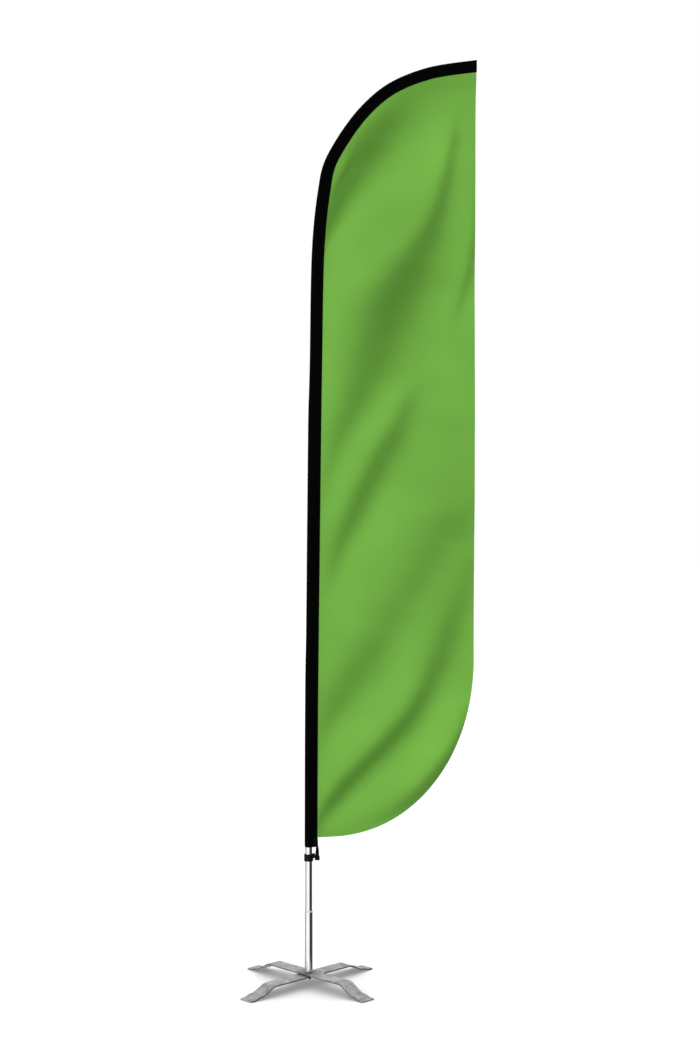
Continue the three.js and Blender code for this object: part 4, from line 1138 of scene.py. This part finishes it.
# The elastic: two plies sewn together at the top, parting round the hook's saddle. A flat section
# with soft edges is carried round the loop, and is gathered narrower at the top.
def elasticPiece():
    radius = elastic["inside"] + elastic["thick"] / 2
    half = elastic["thick"] / 2
    axis, join, top = elastic["axis"], elastic["join"], elastic["top"]
    spread = join + (axis - join) * 0.55
    t = np.linspace(0, 1, 16)[:, None]
    straight = np.stack([np.full(6, half), np.linspace(top, join, 6)], axis=1)
    parting = pulled(t, np.array([half, join]), np.array([radius, spread]), np.array([radius, axis]))
    angle = np.linspace(0, -np.pi, 32)
    under = np.stack([radius * np.cos(angle), axis + radius * np.sin(angle)], axis=1)
    right = np.vstack([straight, parting[1:], under[1:-1]])
    left = np.vstack([straight, parting[1:]])[::-1] * (-1, 1)
    line = np.vstack([right, left])
    normal = directions(line)[1]
    width = np.interp(line[:, 1], elastic["flare"], elastic["width"][::-1])
    corner = np.linspace(0, np.pi, 7)
    ends = np.concatenate([[0.55], np.ones(len(line) - 2), [0.55]])
    thick = half * ends
    sideX = np.concatenate([1 - 0.06 * (1 - np.sin(corner)), -1 + 0.06 * (1 - np.sin(corner))])
    sideY = np.concatenate([np.cos(corner), -np.cos(corner)])
    across = sideX[None] * width[:, None] / 2
    out = sideY[None] * thick[:, None] * 0.96
    y = line[:, :1] + normal[:, :1] * out
    z = line[:, 1:] + normal[:, 1:] * out
    grid = np.stack([np.broadcast_to(across + elastic["middle"] + poleX, y.shape), y, z], axis=-1)
    run = runAlong(line)
    uv = np.stack(np.broadcast_arrays(across, run[:, None]), axis=-1)
    made = makePiece("elasticLoop", [(grid, False, True, uv)], "black_elastic", None,
                     slot="black_elastic", caps=endCaps(grid))
    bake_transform(made)
    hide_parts("elastic_loop")
    return made


elasticPiece()

collar = {"bore": 13.55, "outside": 16.95, "foot": 454.0, "top": 480.0, "web": 0.0025,
          "saddle": 6.0, "lip": 7.9, "saddleFrom": 24.9, "saddleTo": 38.5, "lips": (22.7, 40.7),
          "axis": 0.464,
          "hook": [(0.0152, 0.4640), (0.0388, 0.4640), (0.0398, 0.4700), (0.0388, 0.4750),
                   (0.0249, 0.4750), (0.0222, 0.4836), (0.0166, 0.4836), (0.0152, 0.4780)]}


# The collar's ring, the hook's plate and the saddle with its two lips are one moulding.
def collarPieces():
    turnedPiece("collarRing",
                [(collar["outside"], collar["foot"]), (collar["outside"], collar["top"]),
                 (collar["bore"], collar["top"]), (collar["bore"], collar["foot"])],
                "black_plastic", "collar", radius=0.0014, replaces=("tension_collar",),
                slot="black_plastic")
    shape = softened(collar["hook"], 0.0022, 5, closed=True)
    tangent = np.roll(shape, -1, axis=0) - np.roll(shape, 1, axis=0)
    tangent /= np.linalg.norm(tangent, axis=1)[:, None]
    inwardNormal = np.stack([-tangent[:, 1], tangent[:, 0]], axis=1)
    soft = 0.0007
    turn = np.linspace(0, np.pi / 2, 5)
    inset = np.concatenate([soft - soft * np.sin(turn), (soft - soft * np.sin(turn))[::-1]])
    level = np.concatenate([-collar["web"] + soft - soft * np.cos(turn),
                            (collar["web"] - soft + soft * np.cos(turn))[::-1]])
    plate = shape[None] + inwardNormal[None] * inset[:, None, None]
    y = np.broadcast_to(level[:, None], plate.shape[:2])
    grid = np.stack([plate[:, :, 0] + poleX, y, plate[:, :, 1]], axis=-1)
    makePiece("collarHook", [(grid, False, True, None)], "black_plastic", "collar",
              slot="black_plastic", caps=endCaps(grid))
    low, high = collar["lips"]
    profile = softened(np.array([(0, low), (collar["lip"], low), (collar["lip"], collar["saddleFrom"]),
                                 (collar["saddle"], collar["saddleFrom"]),
                                 (collar["saddle"], collar["saddleTo"]),
                                 (collar["lip"], collar["saddleTo"]), (collar["lip"], high),
                                 (0, high)]) / 1000, 0.0012, 4)
    angle = np.linspace(0, 2 * np.pi, 72, endpoint=False)
    y = profile[:, :1] * np.cos(angle)
    z = collar["axis"] + profile[:, :1] * np.sin(angle)
    x = np.broadcast_to(profile[:, 1:] + poleX, y.shape)
    makePiece("collarSaddle", [(np.stack([x, y, z], axis=-1), False, True, None)], "black_plastic",
              "collar", slot="black_plastic")


collarPieces()
print("tab, elastic and collar made")

# Floor and light. The floor glows evenly, so that it has no horizon, and close to the base a painted shade,
# worked out from ambient occlusion, darkens its colour and its glow.

studio = {
    "towardsKey": (-0.55, -0.62, 0.56), "key": 4.85, "keySpread": 7.0, "ambient": 0.10,
    "towardsFill": (0.50, 0.72, 0.48), "fill": 2.9,
    "floorHalf": 60, "floor": 0.30, "glow": 0.84,
    "bounce": 0.28, "bounceGlow": 0.08, "paintedContactShade": (0.80, 2.8, 0.30),
    "cardTop": (-0.05, 0.2), "overhead": 0.80,
    "reflected": [(0.0, 0.78), (0.15, 0.80), (0.19, 0.35), (0.27, 0.38), (0.315, 1.15),
                  (0.535, 1.15), (0.60, 0.045), (0.80, 0.045), (0.86, 0.25), (1.0, 0.78)],
}

floorMesh = bpy.data.meshes.new("floor")
side = studio["floorHalf"]
floorMesh.from_pydata([(-side, -side, 0), (side, -side, 0), (side, side, 0), (-side, side, 0)], [],
                      [(0, 1, 2, 3)])
floor = bpy.data.objects.new("floor", floorMesh)
bpy.context.scene.collection.objects.link(floor)
pale = Finish("paleFloor", Roughness=0.9)
pale.shader.inputs["Specular IOR Level"].default_value = 0.0
faint = pale.noise(pale.place(), 3, 3)
seenBy = pale.node("ShaderNodeLightPath").outputs["Is Diffuse Ray"]
# Painted shade: ambient occlusion from the base, raised to a power, darkens the floor's colour and its glow
# near the bars.
near = pale.node("ShaderNodeAmbientOcclusion", {"Distance": studio["paintedContactShade"][0]}, samples=8)
clear = pale.maths("POWER", near.outputs["AO"], studio["paintedContactShade"][1])
paintedContactShade = pale.spread(clear, studio["paintedContactShade"][2], 1.0)
tones = [pale.node("ShaderNodeMix", {0: seenBy, 2: studio[seen], 3: studio[bounced]}).outputs[0]
         for seen, bounced in (("floor", "bounce"), ("glow", "bounceGlow"))]
mottleAndContactShade = pale.maths("MULTIPLY", paintedContactShade, pale.spread(faint, 0.98, 1.02))
shade = pale.maths("MULTIPLY", tones[0], mottleAndContactShade)
pale.join("Base Color", shade)
pale.shader.inputs["Emission Color"].default_value = (1, 1, 1, 1)
pale.join("Emission Strength", pale.maths("MULTIPLY", tones[1], paintedContactShade))
floorMesh.materials.append(pale.material)
floor.visible_glossy = False

world = bpy.data.worlds.new("studio")
world.use_nodes = True
bpy.context.scene.world = world


def skyNode(kind, inputs=(), **settings):
    return addNode(world.node_tree, kind, inputs, **settings)


# Cloth is lit by two soft patches of sky, a key and a fill. Polished metal sees upright cards by
# bearing, and an even grey above them. Behind everything the studio is white.
sky = skyNode("ShaderNodeTexCoord").outputs["Generated"]
skyLight = studio["ambient"]
for side, strength in (("towardsKey", "key"), ("towardsFill", "fill")):
    towards = skyNode("ShaderNodeVectorMath", {0: sky, 1: studio[side]}, operation="DOT_PRODUCT")
    facing = skyNode("ShaderNodeMath", {0: towards.outputs["Value"], 1: 0.0}, operation="MAXIMUM")
    patch = skyNode("ShaderNodeMath", {0: facing.outputs[0], 1: studio["keySpread"]}, operation="POWER")
    skyLight = skyNode("ShaderNodeMath", {0: patch.outputs[0], 1: studio[strength], 2: skyLight},
                       operation="MULTIPLY_ADD").outputs[0]
parts = skyNode("ShaderNodeSeparateXYZ", {0: sky})
front = skyNode("ShaderNodeMath", {0: parts.outputs["Y"], 1: -1.0}, operation="MULTIPLY")
bearing = skyNode("ShaderNodeMath", {0: parts.outputs["X"], 1: front.outputs[0]}, operation="ARCTAN2")
share = skyNode("ShaderNodeMapRange", {"Value": bearing.outputs[0], "From Min": -math.pi,
                                       "From Max": math.pi})
seen = skyNode("ShaderNodeValToRGB", {"Fac": share.outputs["Result"]})
marks = seen.color_ramp.elements
for place, level in studio["reflected"][1:-1]:
    marks.new(place)
for mark, (place, level) in zip(marks, studio["reflected"]):
    mark.position = place
    mark.color = (level, level, level, 1)
ray = skyNode("ShaderNodeLightPath")
raised = skyNode("ShaderNodeMapRange", {"Value": parts.outputs["Z"], "From Min": studio["cardTop"][0],
                                        "From Max": studio["cardTop"][1]})
mirrored = skyNode("ShaderNodeMix", {0: raised.outputs["Result"], 6: seen.outputs["Color"],
                                     7: (*[studio["overhead"]] * 3, 1)}, data_type="RGBA")
lit = skyNode("ShaderNodeMix", {0: ray.outputs["Is Glossy Ray"], 6: skyLight,
                                7: mirrored.outputs[2]}, data_type="RGBA")
shown = skyNode("ShaderNodeMix", {0: ray.outputs["Is Camera Ray"], 6: lit.outputs[2],
                                  7: (1.0, 1.0, 1.0, 1.0)}, data_type="RGBA")
world.node_tree.links.new(shown.outputs[2], world.node_tree.nodes["Background"].inputs["Color"])
bpy.context.scene.view_settings.view_transform = "Standard"
print("floor and light set")
